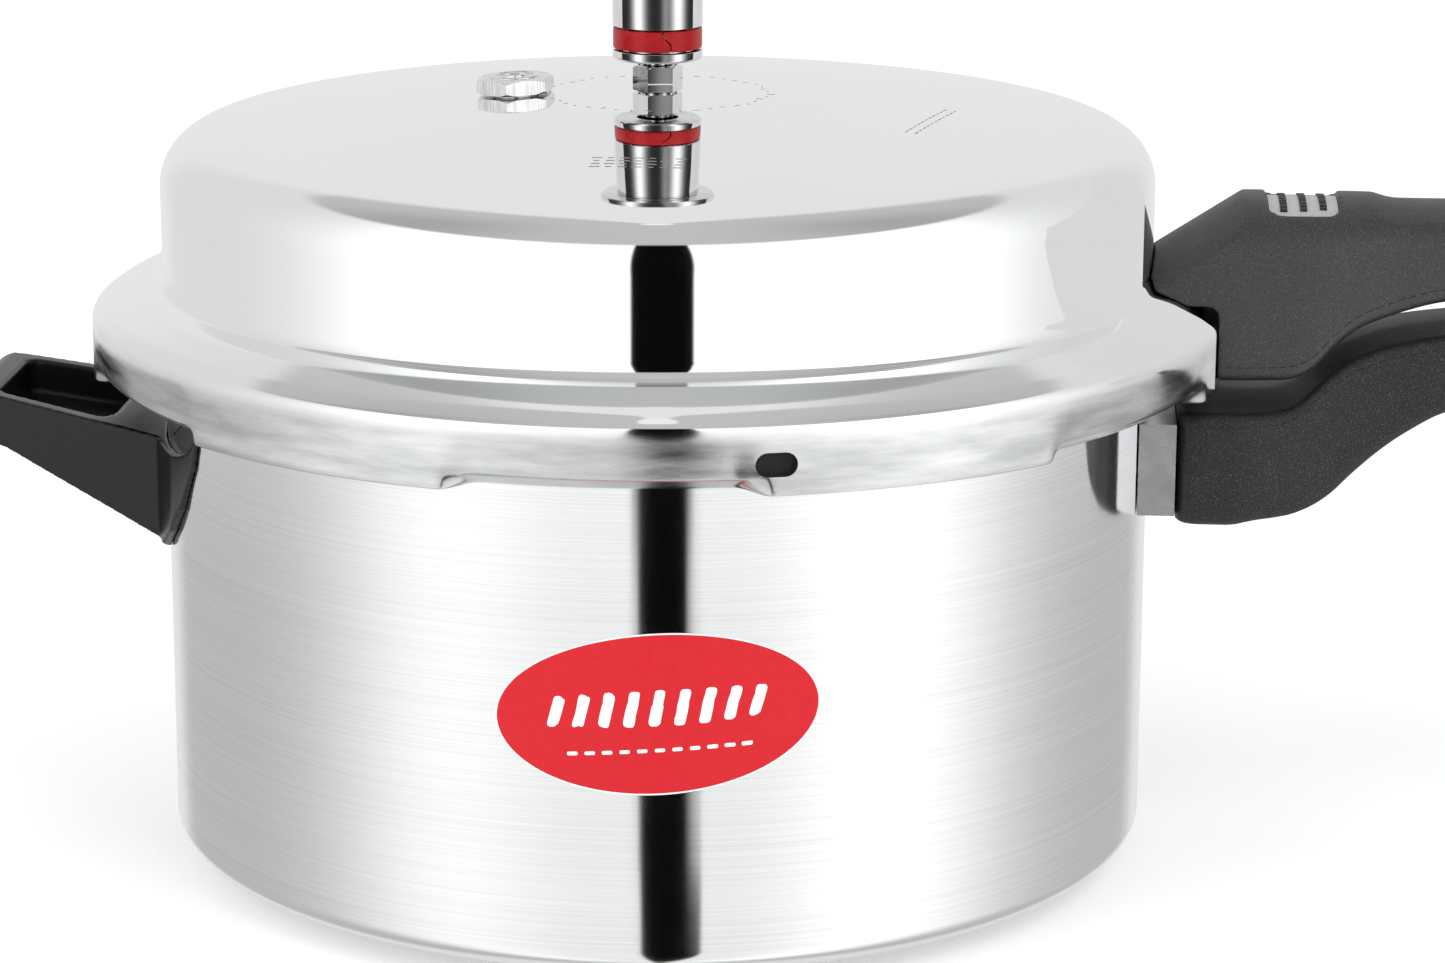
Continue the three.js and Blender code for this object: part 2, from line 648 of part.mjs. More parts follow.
function addRivets(name, spec) {
  spec.azimuths.forEach((azimuth, i) => add(`${name}_${i + 1}`, 'steel', rivet(spec, azimuth)));
}

add('pot_body', 'satinAluminium', potBody());
add('body_handle_bracket', 'satinAluminium', bodyHandleBracket());
addRivets('body_bracket_rivet', BODY_RIVETS);
add('body_handle', 'bakelite', bodyHandle());
add('body_handle_screw', 'steel', screw(BODY_SCREW, 2.6));
add('helper_handle_bracket', 'satinAluminium', helperBracket());
addRivets('helper_bracket_rivet', HELPER_RIVETS);
add('helper_handle', 'glossBakelite', helperHandle());
add('helper_handle_screw', 'steel', screw(HELPER_SCREW, 2));

add('lid', 'polishedAluminium', lid());
add('sealing_gasket', 'rubber', sealingGasket());
add('lid_handle_bracket', 'steel', lidHandleBracket());
addRivets('lid_bracket_rivet', LID_RIVETS);
add('lid_handle', 'bakelite', lidHandle());
add('lid_handle_screw', 'steel', screw(LID_SCREW, 2.6));
add('label_plate', 'label', labelPlate());
add('vent_tube', 'chrome', ventTube());
add('vent_tube_washer', 'steel', washer(VENT.shank + GAP, 8, underLid - GAP - WASHER, underLid - GAP));
add('vent_tube_nut', 'steel', ventNut());
add('safety_valve_body', 'satinAluminium', safetyBody());
add('safety_valve_washer', 'rubber', safetyWasher());
add('safety_valve_nut', 'satinAluminium', safetyNut());
add('fusible_plug', 'fusibleAlloy', fusiblePlug());

add('vent_needle', 'steel', ventNeedle());
add('weight_body', 'chrome', weightBody());
add('weight_band', 'silicone', weightBand());
add('weight_cap', 'chrome', weightCap());

export default cooker;
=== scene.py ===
"""Looks of a stovetop pressure cooker with an outer, bayonet-locked lid.

Metres, +Z up. The origin is the centre of the pot's flat base, the long handles point along +X
and the helper handle along -X. Azimuths are in degrees, from +X towards -Y, seen from above.
"""
import bisect
import math

import bmesh
import bpy
from mathutils import Matrix, Vector


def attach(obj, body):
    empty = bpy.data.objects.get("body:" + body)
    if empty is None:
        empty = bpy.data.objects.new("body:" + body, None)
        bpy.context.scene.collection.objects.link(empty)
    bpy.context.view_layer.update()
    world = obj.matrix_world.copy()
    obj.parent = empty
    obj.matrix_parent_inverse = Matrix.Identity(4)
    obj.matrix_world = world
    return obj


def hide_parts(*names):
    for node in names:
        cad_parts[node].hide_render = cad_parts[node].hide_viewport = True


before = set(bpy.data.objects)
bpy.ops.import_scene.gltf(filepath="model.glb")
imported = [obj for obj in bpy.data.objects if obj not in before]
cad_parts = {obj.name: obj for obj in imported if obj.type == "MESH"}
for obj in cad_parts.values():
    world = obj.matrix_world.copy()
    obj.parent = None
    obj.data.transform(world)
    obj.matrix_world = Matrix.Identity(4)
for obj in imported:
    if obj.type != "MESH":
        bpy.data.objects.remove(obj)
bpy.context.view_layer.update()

MM = 0.001

# ---- driving sizes, in millimetres
POT_RADIUS = 110.0
POT_WALL = 3.0
POT_RIM_TOP = 117.0
POT_RIM_UNDERSIDE = 114.3
CAP_RADIUS = 110.15
LID_WALL = 2.7
SHOULDER = 11.8
SHOULDER_CENTRE = 152.9
APEX = 172.0
DOME = 7.4e-4
SKIRT_RADIUS = 125.8
SKIRT_BOTTOM = 110.8
LUG_COUNT = 6
FIRST_LUG = 30.0
LUG_BENT_HALF = 11.7            # degrees either side of a lug that are fully bent in
LUG_STRAIGHT_HALF = 15.6        # degrees either side of a lug where the bend has run out
SLOT_AZIMUTH = 74.2
SLOT_HEIGHT = 117.4
SLOT_LENGTH = 8.6
SLOT_WIDTH = 5.0
SAFETY_VALVE_PLACE = (-31.5, -1)
WEIGHT_RADIUS = 10.0
HANDLE_END = 285.0
STICKER_WIDTH = 67.0
STICKER_HEIGHT = 33.7
STICKER_TILT = 3.5
STICKER_AZIMUTH = 85.0
STICKER_MIDDLE = 61.6           # height of the sticker's middle


# ---- outlines
def arc(centre, radius, start, end, steps):
    """Points of a circular arc in a plane, from one angle to another, in degrees."""
    angles = [math.radians(start + (end - start) * i / steps) for i in range(steps + 1)]
    return [(centre[0] + radius * math.cos(a), centre[1] + radius * math.sin(a)) for a in angles]


def rounded(points, radius, steps=5, closed=True):
    """A polygon with its corners rounded; radius is one number, or one for each corner."""
    radii = radius if isinstance(radius, (list, tuple)) else [radius] * len(points)
    result = []
    for i, point in enumerate(points):
        at_end = not closed and i in (0, len(points) - 1)
        if at_end or radii[i] == 0:
            result.append(tuple(point))
            continue
        here = Vector(point)
        before = Vector(points[i - 1]) - here
        after = Vector(points[(i + 1) % len(points)]) - here
        half = before.angle(after) / 2
        reach = min(radii[i] / math.tan(half), before.length * 0.49, after.length * 0.49)
        first = here + before.normalized() * reach
        last = here + after.normalized() * reach
        for k in range(steps + 1):
            t = k / steps
            result.append(tuple(first * (1 - t) ** 2 + here * 2 * t * (1 - t) + last * t * t))
    return result


def curve_through(points):
    """A smooth function through (x, value) points that doesn't overshoot them."""
    xs = [p[0] for p in points]
    ys = [p[1] for p in points]
    gaps = [b - a for a, b in zip(xs, xs[1:])]
    slopes = [(ys[i + 1] - ys[i]) / gaps[i] for i in range(len(gaps))]
    tangents = [slopes[0]]
    for left, right in zip(slopes, slopes[1:]):
        tangents.append(0.0 if left * right <= 0 else 2 * left * right / (left + right))
    tangents.append(slopes[-1])

    def value(x):
        x = min(max(x, xs[0]), xs[-1])
        i = min(max(bisect.bisect_right(xs, x) - 1, 0), len(gaps) - 1)
        h = gaps[i]
        t = (x - xs[i]) / h
        ends = ys[i] * (1 + 2 * t) * (1 - t) ** 2 + ys[i + 1] * t * t * (3 - 2 * t)
        return ends + h * (tangents[i] * t * (1 - t) ** 2 - tangents[i + 1] * t * t * (1 - t))

    return value


def smoothstep(low, high, x):
    t = min(max((x - low) / (high - low), 0.0), 1.0)
    return t * t * (3 - 2 * t)


def turned(x, y, degrees):
    c = math.cos(math.radians(degrees))
    s = math.sin(math.radians(degrees))
    return (x * c - y * s, x * s + y * c)


def dome_height(r):
    return APEX - DOME * r * r


# ---- mesh helpers
def new_object(name, verts, faces, smooth=True):
    mesh = bpy.data.meshes.new(name)
    mesh.from_pydata([(x * MM, y * MM, z * MM) for x, y, z in verts], [], faces)
    mesh.validate()
    mesh.update()
    if smooth:
        mesh.polygons.foreach_set("use_smooth", [True] * len(mesh.polygons))
    obj = bpy.data.objects.new(name, mesh)
    bpy.context.scene.collection.objects.link(obj)
    return obj


def solid(name, verts, faces, smooth=True):
    """A closed mesh whose faces all point outwards."""
    obj = new_object(name, verts, faces, smooth)
    bm = bmesh.new()
    bm.from_mesh(obj.data)
    bmesh.ops.recalc_face_normals(bm, faces=bm.faces)
    bm.to_mesh(obj.data)
    bm.free()
    return obj


def grid_faces(rows, count, start=0, rows_meet=False, ends_meet=True):
    """Faces between successive rows of points, each row with the same count."""
    faces = []
    for i in range(rows if rows_meet else rows - 1):
        a = start + i * count
        b = start + (i + 1) % rows * count
        for k in range(count if ends_meet else count - 1):
            n = (k + 1) % count
            faces.append((a + k, a + n, b + n, b + k))
    return faces


def ring_surface(name, profile_at, azimuths, closed=True):
    """A body of revolution whose (r, z) profile may change with the azimuth.

    A closed profile is a loop; an open one starts and ends on the axis.
    """
    profiles = [profile_at(a) for a in azimuths]
    count = len(profiles[0])
    verts = []
    inner = range(count) if closed else range(1, count - 1)
    for azimuth, profile in zip(azimuths, profiles):
        c = math.cos(math.radians(azimuth))
        s = -math.sin(math.radians(azimuth))
        verts.extend((profile[k][0] * c, profile[k][0] * s, profile[k][1]) for k in inner)
    row = len(inner)
    columns = len(azimuths)
    faces = grid_faces(columns, row, rows_meet=True, ends_meet=closed)
    if not closed:
        start = len(verts)
        verts.append((0, 0, profiles[0][0][1]))
        verts.append((0, 0, profiles[0][-1][1]))
        for i in range(columns):
            a = i * row
            b = (i + 1) % columns * row
            faces.append((start, a, b))
            faces.append((start + 1, b + row - 1, a + row - 1))
    return solid(name, verts, faces)


def lathe(name, profile, segments=128, closed=True):
    return ring_surface(name, lambda _: profile, [360 * i / segments for i in range(segments)], closed)


def prism(name, outline, low, high, axis="Z"):
    """An outline extruded along an axis: a plan (x, y), a side view (x, z) or an end view (y, z)."""
    place = {
        "Z": lambda a, b, h: (a, b, h),
        "Y": lambda a, b, h: (a, h, b),
        "X": lambda a, b, h: (h, a, b),
    }[axis]
    count = len(outline)
    verts = [place(a, b, low) for a, b in outline] + [place(a, b, high) for a, b in outline]
    faces = [tuple(reversed(range(count))), tuple(range(count, 2 * count))]
    for i in range(count):
        n = (i + 1) % count
        faces.append((i, n, count + n, count + i))
    return solid(name, verts, faces, smooth=False)


def apply_modifiers(obj):
    graph = bpy.context.evaluated_depsgraph_get()
    mesh = bpy.data.meshes.new_from_object(obj.evaluated_get(graph))
    old = obj.data
    obj.modifiers.clear()
    obj.data = mesh
    bpy.data.meshes.remove(old)


def combine(obj, tools, operation):
    """Cuts, joins or intersects obj with each tool, which is then removed."""
    for tool in tools:
        modifier = obj.modifiers.new("cut", "BOOLEAN")
        modifier.object = tool
        modifier.operation = operation
        modifier.solver = "EXACT"
    bpy.context.view_layer.update()
    apply_modifiers(obj)
    for tool in tools:
        bpy.data.objects.remove(tool)


def soften(obj, voxel, passes):
    """Remeshes a cut solid evenly and rounds its edges, as moulding and buffing do."""
    remesh = obj.modifiers.new("even", "REMESH")
    remesh.mode = "VOXEL"
    remesh.voxel_size = voxel * MM
    remesh.use_smooth_shade = True
    smooth = obj.modifiers.new("round", "SMOOTH")
    smooth.factor = 0.5
    smooth.iterations = passes
    apply_modifiers(obj)


def bevel(obj, width, angle):
    modifier = obj.modifiers.new("edge", "BEVEL")
    modifier.width = width * MM
    modifier.segments = 2
    modifier.limit_method = "ANGLE"
    modifier.angle_limit = math.radians(angle)
    modifier.harden_normals = True


def shade_by_angle(obj, angle):
    obj.data.polygons.foreach_set("use_smooth", [True] * len(obj.data.polygons))
    obj.data.set_sharp_from_angle(angle=math.radians(angle))


def slivers(name, boxes, height_at, high, low):
    """Thin boxes on a surface; each is (x, y, direction in degrees, length, width)."""
    verts = []
    faces = []
    for x, y, direction, length, width in boxes:
        base = len(verts)
        for lift in (high, low):
            for a, b in ((-1, -1), (1, -1), (1, 1), (-1, 1)):
                across, along = turned(a * length / 2, b * width / 2, direction)
                verts.append((x + across, y + along, height_at(x + across, y + along) + lift))
        sides = [(k, (k + 1) % 4, (k + 1) % 4 + 4, k + 4) for k in range(4)]
        faces += [tuple(base + k for k in face) for face in [(0, 1, 2, 3), (7, 6, 5, 4), *sides]]
    return solid(name, verts, faces, smooth=False)


def placed(obj, material, body, slot, *nodes):
    obj.data.materials.clear()
    obj.data.materials.append(material)
    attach(obj, body)
    if nodes:
        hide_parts(*nodes)
    return obj


# ---- materials
class Look:
    """A small builder for one node-based material."""

    def __init__(self, name, metallic=0.0):
        self.material = bpy.data.materials.new(name)
        self.material.use_nodes = True
        self.tree = self.material.node_tree
        self.shader = self.tree.nodes["Principled BSDF"]
        self.shader.inputs["Metallic"].default_value = metallic
        self.coordinates = self.tree.nodes.new("ShaderNodeTexCoord").outputs["Object"]

    def link(self, a, b):
        self.tree.links.new(a, b)

    def node(self, kind, **settings):
        node = self.tree.nodes.new(kind)
        for key, value in settings.items():
            if key in node.inputs:
                node.inputs[key].default_value = value
            else:
                setattr(node, key, value)
        return node

    def stretched(self, x, y, z):
        mapping = self.node("ShaderNodeMapping")
        mapping.inputs["Scale"].default_value = (x, y, z)
        self.link(self.coordinates, mapping.inputs["Vector"])
        return mapping.outputs["Vector"]

    def noise(self, vector, scale, detail=2.0, roughness=0.5):
        node = self.node("ShaderNodeTexNoise", Scale=scale, Detail=detail, Roughness=roughness)
        self.link(vector, node.inputs["Vector"])
        return node.outputs["Fac"]

    def spread(self, value, low, high, start=0.0, end=1.0):
        limits = {"From Min": start, "From Max": end, "To Min": low, "To Max": high}
        node = self.node("ShaderNodeMapRange", **limits)
        self.link(value, node.inputs["Value"])
        return node.outputs["Result"]

    def shades(self, value, dark, light, start=0.0, end=1.0):
        node = self.node("ShaderNodeValToRGB")
        node.color_ramp.elements[0].position = start
        node.color_ramp.elements[1].position = end
        node.color_ramp.elements[0].color = (*dark, 1)
        node.color_ramp.elements[1].color = (*light, 1)
        self.link(value, node.inputs["Fac"])
        return node.outputs["Color"]

    def mixed(self, factor, a, b, kind, first, result):
        """A blend of a and b, whose sockets start at the number first for this kind of data."""
        node = self.node("ShaderNodeMix", data_type=kind)
        self.link(factor, node.inputs[0])
        self.link(a, node.inputs[first])
        self.link(b, node.inputs[first + 1])
        return node.outputs[result]

    def colour(self, output):
        self.link(output, self.shader.inputs["Base Color"])

    def roughness(self, output):
        self.link(output, self.shader.inputs["Roughness"])

    def bump(self, height, distance):
        node = self.node("ShaderNodeBump", Strength=1.0, Distance=distance * MM)
        self.link(height, node.inputs["Height"])
        self.link(node.outputs["Normal"], self.shader.inputs["Normal"])
        return node


def satin_aluminium():
    """Metal finished on a lathe: fine rings about the Z axis, with faint cloudy patches."""
    look = Look("satin_aluminium", metallic=1.0)
    look.shader.inputs["Anisotropic"].default_value = 1.0
    look.shader.inputs["Anisotropic Rotation"].default_value = 0.25
    rings = look.noise(look.stretched(6, 6, 2600), 1.0, 3.0, 0.6)
    clouds = look.noise(look.stretched(14, 14, 30), 1.0, 4.0, 0.55)
    look.colour(look.shades(rings, (0.78, 0.785, 0.79), (0.86, 0.865, 0.87), 0.3, 0.62))
    look.roughness(look.spread(clouds, 0.10, 0.125, 0.3, 0.7))
    look.bump(rings, 0.001)
    tangent = look.node("ShaderNodeTangent", direction_type="RADIAL", axis="Z")
    look.link(tangent.outputs["Tangent"], look.shader.inputs["Tangent"])
    return look.material


def polished_lid():
    """Buffed aluminium: a near mirror above, and a machined satin skirt below."""
    look = Look("polished_aluminium", metallic=1.0)
    height = look.node("ShaderNodeSeparateXYZ")
    look.link(look.coordinates, height.inputs["Vector"])
    machined = look.spread(height.outputs["Z"], 1.0, 0.0, 0.1215, 0.1255)
    rings = look.noise(look.stretched(6, 6, 3200), 1.0, 3.0, 0.65)
    haze = look.noise(look.stretched(10, 10, 10), 1.0, 4.0, 0.5)
    patches = look.noise(look.stretched(40, 40, 260), 1.0, 4.0, 0.6)
    polished = look.shades(haze, (0.90, 0.905, 0.91), (0.94, 0.945, 0.95), 0.3, 0.7)
    turned_tone = look.shades(patches, (0.52, 0.525, 0.53), (0.76, 0.765, 0.77), 0.35, 0.68)
    look.colour(look.mixed(machined, polished, turned_tone, "RGBA", 6, 2))
    mirror = look.spread(haze, 0.02, 0.05, 0.3, 0.7)
    satin = look.spread(patches, 0.17, 0.30, 0.3, 0.7)
    look.roughness(look.mixed(machined, mirror, satin, "FLOAT", 2, 0))
    strength = look.spread(machined, 0.04, 1.0)
    bump = look.bump(rings, 0.006)
    look.link(strength, bump.inputs["Strength"])
    return look.material


def plain_metal(name, light, dark, low, high, scale=900):
    look = Look(name, metallic=1.0)
    grain = look.noise(look.coordinates, scale, 4.0, 0.6)
    look.colour(look.shades(grain, dark, light, 0.3, 0.65))
    look.roughness(look.spread(grain, low, high, 0.3, 0.7))
    look.bump(grain, 0.006)
    return look.material


def scratched_aluminium():
    """Cut facets with upright tool marks."""
    look = Look("scratched_aluminium", metallic=1.0)
    marks = look.noise(look.stretched(2600, 2600, 120), 1.0, 3.0, 0.6)
    look.colour(look.shades(marks, (0.62, 0.62, 0.625), (0.86, 0.865, 0.87), 0.35, 0.6))
    look.roughness(look.spread(marks, 0.16, 0.3, 0.3, 0.7))
    look.bump(marks, 0.01)
    return look.material


def bakelite(name, dark, light, low, high, grain_depth, specular):
    """Moulded black phenolic with a fine mineral sparkle."""
    look = Look(name)
    look.shader.inputs["Specular IOR Level"].default_value = specular
    grain = look.noise(look.coordinates, 2600, 3.0, 0.7)
    fleck = look.noise(look.coordinates, 4200, 1.0, 0.5)
    patches = look.noise(look.coordinates, 60, 4.0, 0.5)
    look.colour(look.shades(fleck, dark, light, 0.55, 0.75))
    look.roughness(look.spread(patches, low, high, 0.3, 0.7))
    look.bump(grain, grain_depth)
    return look.material


def soft_plastic(name, dark, light, low, high):
    look = Look(name)
    look.shader.inputs["Specular IOR Level"].default_value = 0.3
    mottle = look.noise(look.coordinates, 700, 4.0, 0.6)
    look.colour(look.shades(mottle, dark, light, 0.35, 0.7))
    look.roughness(look.spread(mottle, low, high, 0.3, 0.7))
    look.bump(mottle, 0.01)
    return look.material


SATIN = satin_aluminium()
BRACKET = plain_metal("cast_aluminium", (0.72, 0.725, 0.73), (0.67, 0.675, 0.68), 0.24, 0.3, 90)
POLISHED = polished_lid()
CHROME = plain_metal("chrome", (0.86, 0.86, 0.87), (0.80, 0.80, 0.81), 0.03, 0.07, 300)
SCRATCHED = scratched_aluminium()
STEEL = plain_metal("steel", (0.62, 0.62, 0.63), (0.48, 0.48, 0.49), 0.25, 0.4)
ALLOY = plain_metal("fusible_alloy", (0.52, 0.52, 0.5), (0.4, 0.4, 0.38), 0.4, 0.55)
MATTE_BLACK = bakelite("bakelite", (0.009, 0.009, 0.0095), (0.075, 0.075, 0.078), 0.46, 0.56, 0.06, 0.4)
# A brighter, shinier copy of the bakelite for the lid handle: its lighter colour and stronger specular paint
# in the light that falls on the handle from above.
LIT_LID_BAKELITE = bakelite("lit_lid_bakelite", (0.010, 0.010, 0.0105), (0.08, 0.08, 0.083), 0.46, 0.56, 0.06, 0.8)
GLOSS_BLACK = bakelite(
    "gloss_bakelite", (0.004, 0.004, 0.004), (0.008, 0.008, 0.008), 0.26, 0.34, 0.006, 0.35)
RUBBER = soft_plastic("rubber", (0.012, 0.012, 0.012), (0.025, 0.025, 0.025), 0.55, 0.75)
RED_BAND = soft_plastic("silicone", (0.38, 0.005, 0.007), (0.46, 0.008, 0.010), 0.3, 0.42)
STICKER_RED = soft_plastic("sticker_red", (0.60, 0.006, 0.014), (0.66, 0.008, 0.018), 0.42, 0.5)
STICKER_PALE = soft_plastic("sticker_pale", (0.86, 0.86, 0.86), (0.9, 0.9, 0.9), 0.42, 0.5)
LABEL_GREY = soft_plastic("label", (0.36, 0.36, 0.365), (0.42, 0.42, 0.425), 0.34, 0.42)
ENGRAVED = plain_metal("engraved_metal", (0.42, 0.42, 0.43), (0.3, 0.3, 0.31), 0.35, 0.5)


# ---- pot
def lug_azimuths():
    return [FIRST_LUG + i * 360 / LUG_COUNT for i in range(LUG_COUNT)]


def lugness(azimuth, half_angle, blend):
    """1 inside a lug, 0 between lugs, with a short smooth change at each end."""
    away = min(abs((azimuth - middle + 180) % 360 - 180) for middle in lug_azimuths())
    return 1 - smoothstep(half_angle - blend / 2, half_angle + blend / 2, away)


def azimuths_with_detail(half_angle, blend, extra=10):
    """Even azimuths all round, with extra ones where each lug begins and ends."""
    angles = {round(1.5 * i, 4) for i in range(240)}
    for middle in lug_azimuths():
        for side in (-1, 1):
            edge = middle + side * half_angle
            angles |= {round((edge + blend * (k / extra - 0.5) * 1.4) % 360, 4) for k in range(extra + 1)}
    ordered = sorted(angles)
    kept = [ordered[0]]
    for angle in ordered[1:]:
        if angle - kept[-1] > 0.12:
            kept.append(angle)
    return kept


def ellipse_corner(radius, width, height, base, steps):
    points = []
    for i in range(steps + 1):
        angle = math.pi / 2 * i / steps
        points.append((radius - width + width * math.sin(angle), base + height - height * math.cos(angle)))
    return points


def make_pot():
    inside = POT_RADIUS - POT_WALL
    wall = [(POT_RADIUS, 10 + 20.6 * i) for i in range(1, 6)]
    inner_wall = [(inside, z) for z in (113, 90, 66, 42, 20)]

    def profile(azimuth):
        reach = 114.5 + (121.8 - 114.5) * lugness(azimuth, 14.5, 0.8)
        rim = rounded(
            [(POT_RADIUS, 113.2), (POT_RADIUS, POT_RIM_UNDERSIDE), (reach, POT_RIM_UNDERSIDE),
             (reach, POT_RIM_TOP), (inside, POT_RIM_TOP), (inside, 114)],
            [0, 0.6, 0.7, 0.7, 0.7, 0], 3, closed=False)
        base = [(0, 0.5), (20, 0.5), (50, 0.5), (70, 0.5), (72, 0.4), (73, 0.0)]
        return [
            *base,
            *ellipse_corner(POT_RADIUS, 28, 10, 0, 22),
            *wall,
            *rim,
            *inner_wall,
            *reversed(ellipse_corner(inside, 24, 8, 3.4, 10)),
            (60, 3.4),
            (30, 3.4),
            (0, 3.4),
        ]

    pot = ring_surface("pot", profile, azimuths_with_detail(14.5, 0.8), closed=False)
    placed(pot, SATIN, "pot", "satin_aluminium", "pot_body")


def on_pot_wall(across, up, lift):
    """A point on the pot's wall, measured along it from the sticker's middle."""
    radius = POT_RADIUS + lift
    angle = math.radians(STICKER_AZIMUTH) - across / POT_RADIUS
    return (radius * math.cos(angle), -radius * math.sin(angle), STICKER_MIDDLE + up)


def wall_patch(name, outline_at, rings, low, high):
    """A thin sheet on the pot's wall, as rings about its middle; outline_at(share) is one ring."""
    count = len(outline_at(1.0))
    verts = []
    for lift in (high, low):
        for i in range(1, rings + 1):
            share = i / rings
            edge = 0.0 if i < rings or lift == low else high - low
            for x, y in outline_at(share):
                verts.append(on_pot_wall(*turned(x, y, STICKER_TILT), lift - edge * 0.6))
    faces = []
    for side in range(2):
        base = side * rings * count
        faces.append(tuple(base + k for k in range(count)))
        faces += grid_faces(rings, count, base)
    outer = (rings - 1) * count
    for k in range(count):
        n = (k + 1) % count
        faces.append((outer + k, outer + n, outer + rings * count + n, outer + rings * count + k))
    patch = solid(name, verts, faces)
    shade_by_angle(patch, 40)
    return patch


def make_sticker():
    """A plain red oval with a pale rim and a generic row of slanted bars."""
    half_width = STICKER_WIDTH / 2
    half_height = STICKER_HEIGHT / 2

    rim_width = 0.35

    def oval(share, grow=0.0):
        return [((half_width + grow) * share * math.cos(math.radians(3 * i)),
                 (half_height + grow) * share * math.sin(math.radians(3 * i))) for i in range(120)]

    backing = wall_patch("sticker_rim", lambda share: oval(share, rim_width), 8, 0.02, 0.07)
    placed(backing, STICKER_PALE, "pot", "label")
    face = wall_patch("sticker", oval, 8, 0.02, 0.13)
    placed(face, STICKER_RED, "pot", "label")
    for i in range(-4, 5):
        lean = 1.1
        tall = 4.4 - 0.28 * abs(i)
        middle = i * 5.2
        half = 1.25
        corners = [(-half - lean, -tall), (half - lean, -tall), (half + lean, tall), (-half + lean, tall)]
        bar = rounded(corners, 0.9, 4)
        make_mark(f"sticker_bar_{i + 5}", [(middle + x, y + 1.4) for x, y in bar])
    for i in range(-5, 6):
        dash = rounded([(-1.2, -0.45), (1.2, -0.45), (1.2, 0.45), (-1.2, 0.45)], 0.4, 3)
        make_mark(f"sticker_dash_{i + 6}", [(i * 3.6 + x, y - 7.6) for x, y in dash])


def make_mark(name, outline):
    centre_x = sum(x for x, _ in outline) / len(outline)
    centre_y = sum(y for _, y in outline) / len(outline)

    def ring(share):
        return [(centre_x + (x - centre_x) * share, centre_y + (y - centre_y) * share) for x, y in outline]

    mark = wall_patch(name, ring, 2, 0.08, 0.17)
    placed(mark, STICKER_PALE, "pot", "label")


# ---- lid
def lid_top_outline():
    shoulder_r = CAP_RADIUS - SHOULDER
    flange = rounded(
        [(SKIRT_RADIUS, 121.5), (SKIRT_RADIUS, 125.2), (122.4, 127.6), (116, 130.9), (111.6, 132.2),
         (CAP_RADIUS, 134.6)],
        [0, 2.6, 10, 14, 2.4, 0], 7, closed=False)
    return [
        *flange,
        (CAP_RADIUS, 135.1),
        (CAP_RADIUS, 145),
        (CAP_RADIUS, SHOULDER_CENTRE - 0.5),
        (CAP_RADIUS, SHOULDER_CENTRE),
        *arc((shoulder_r, SHOULDER_CENTRE), SHOULDER, 6, 81.7, 18),
        *((r, dome_height(r)) for r in (92, 78, 64, 50, 38, 28, 20, 13, 8, 4.4)),
    ]


def lid_inner_outline():
    inside = CAP_RADIUS - LID_WALL
    shoulder_r = CAP_RADIUS - SHOULDER
    return [
        *((r, dome_height(r) - LID_WALL) for r in (4.4, 20, 40, 60, 78, 92)),
        *arc((shoulder_r, SHOULDER_CENTRE), SHOULDER - LID_WALL, 81.7, 6, 10),
        (inside, SHOULDER_CENTRE),
        (inside, 140),
        *rounded([(inside, 134), (108.4, 130.6), (112.8, 129.1), (118, 126.8), (123.2, 123.4),
                  (123.2, 120)], [0, 1.5, 2, 4, 2, 0], 4, closed=False),
    ]


def skirt_edge(azimuth):
    """The skirt's lower part, outside first: straight between lugs, bent in under the rim at a lug."""
    straight = rounded(
        [(123.2, 117.5), (123.2, SKIRT_BOTTOM), (SKIRT_RADIUS, SKIRT_BOTTOM), (SKIRT_RADIUS, 117.5)],
        [0, 0.5, 0.9, 0], 8, closed=False)
    bent = rounded(
        [(122.9, 117.5), (122.6, 114.0), (115.5, 114.0), (115.5, 111.6), (120.4, 111.6),
         (124.7, 114.6), (125.15, 118.5)],
        [0, 0.4, 0.5, 0.5, 3.0, 1.2, 0], 3, closed=False)
    middle = (LUG_BENT_HALF + LUG_STRAIGHT_HALF) / 2
    share = lugness(azimuth, middle, LUG_STRAIGHT_HALF - LUG_BENT_HALF)
    even_straight = resampled(straight, 30)
    even_bent = resampled(bent, 30)
    return [
        (a[0] + (b[0] - a[0]) * share, a[1] + (b[1] - a[1]) * share)
        for a, b in zip(even_straight, even_bent)
    ]


def resampled(points, count):
    lengths = [0.0]
    for a, b in zip(points, points[1:]):
        lengths.append(lengths[-1] + math.dist(a, b))
    result = []
    for i in range(count):
        target = lengths[-1] * i / (count - 1)
        k = min(max(bisect.bisect_right(lengths, target) - 1, 0), len(points) - 2)
        t = (target - lengths[k]) / (lengths[k + 1] - lengths[k])
        result.append(tuple(points[k][j] + (points[k + 1][j] - points[k][j]) * t for j in range(2)))
    return result


def slot_outline(length, width, steps=10):
    half = (length - width) / 2
    return [*arc((half, 0), width / 2, -90, 90, steps), *arc((-half, 0), width / 2, 90, 270, steps)]


def make_lid():
    top = lid_top_outline()
    inner = lid_inner_outline()

    def profile(azimuth):
        return [*skirt_edge(azimuth), *top, *inner]

    middle = (LUG_BENT_HALF + LUG_STRAIGHT_HALF) / 2
    lid = ring_surface("lid_shell", profile, azimuths_with_detail(middle, 4.4, extra=16))
    cutter = prism("slot_cutter", slot_outline(SLOT_LENGTH, SLOT_WIDTH), 119, 130, "X")
    cutter.rotation_euler = (0, 0, -math.radians(SLOT_AZIMUTH))
    cutter.location = (0, 0, SLOT_HEIGHT * MM)
    combine(lid, [cutter], "DIFFERENCE")
    shade_by_angle(lid, 40)
    placed(lid, POLISHED, "lid", "polished_aluminium", "lid")


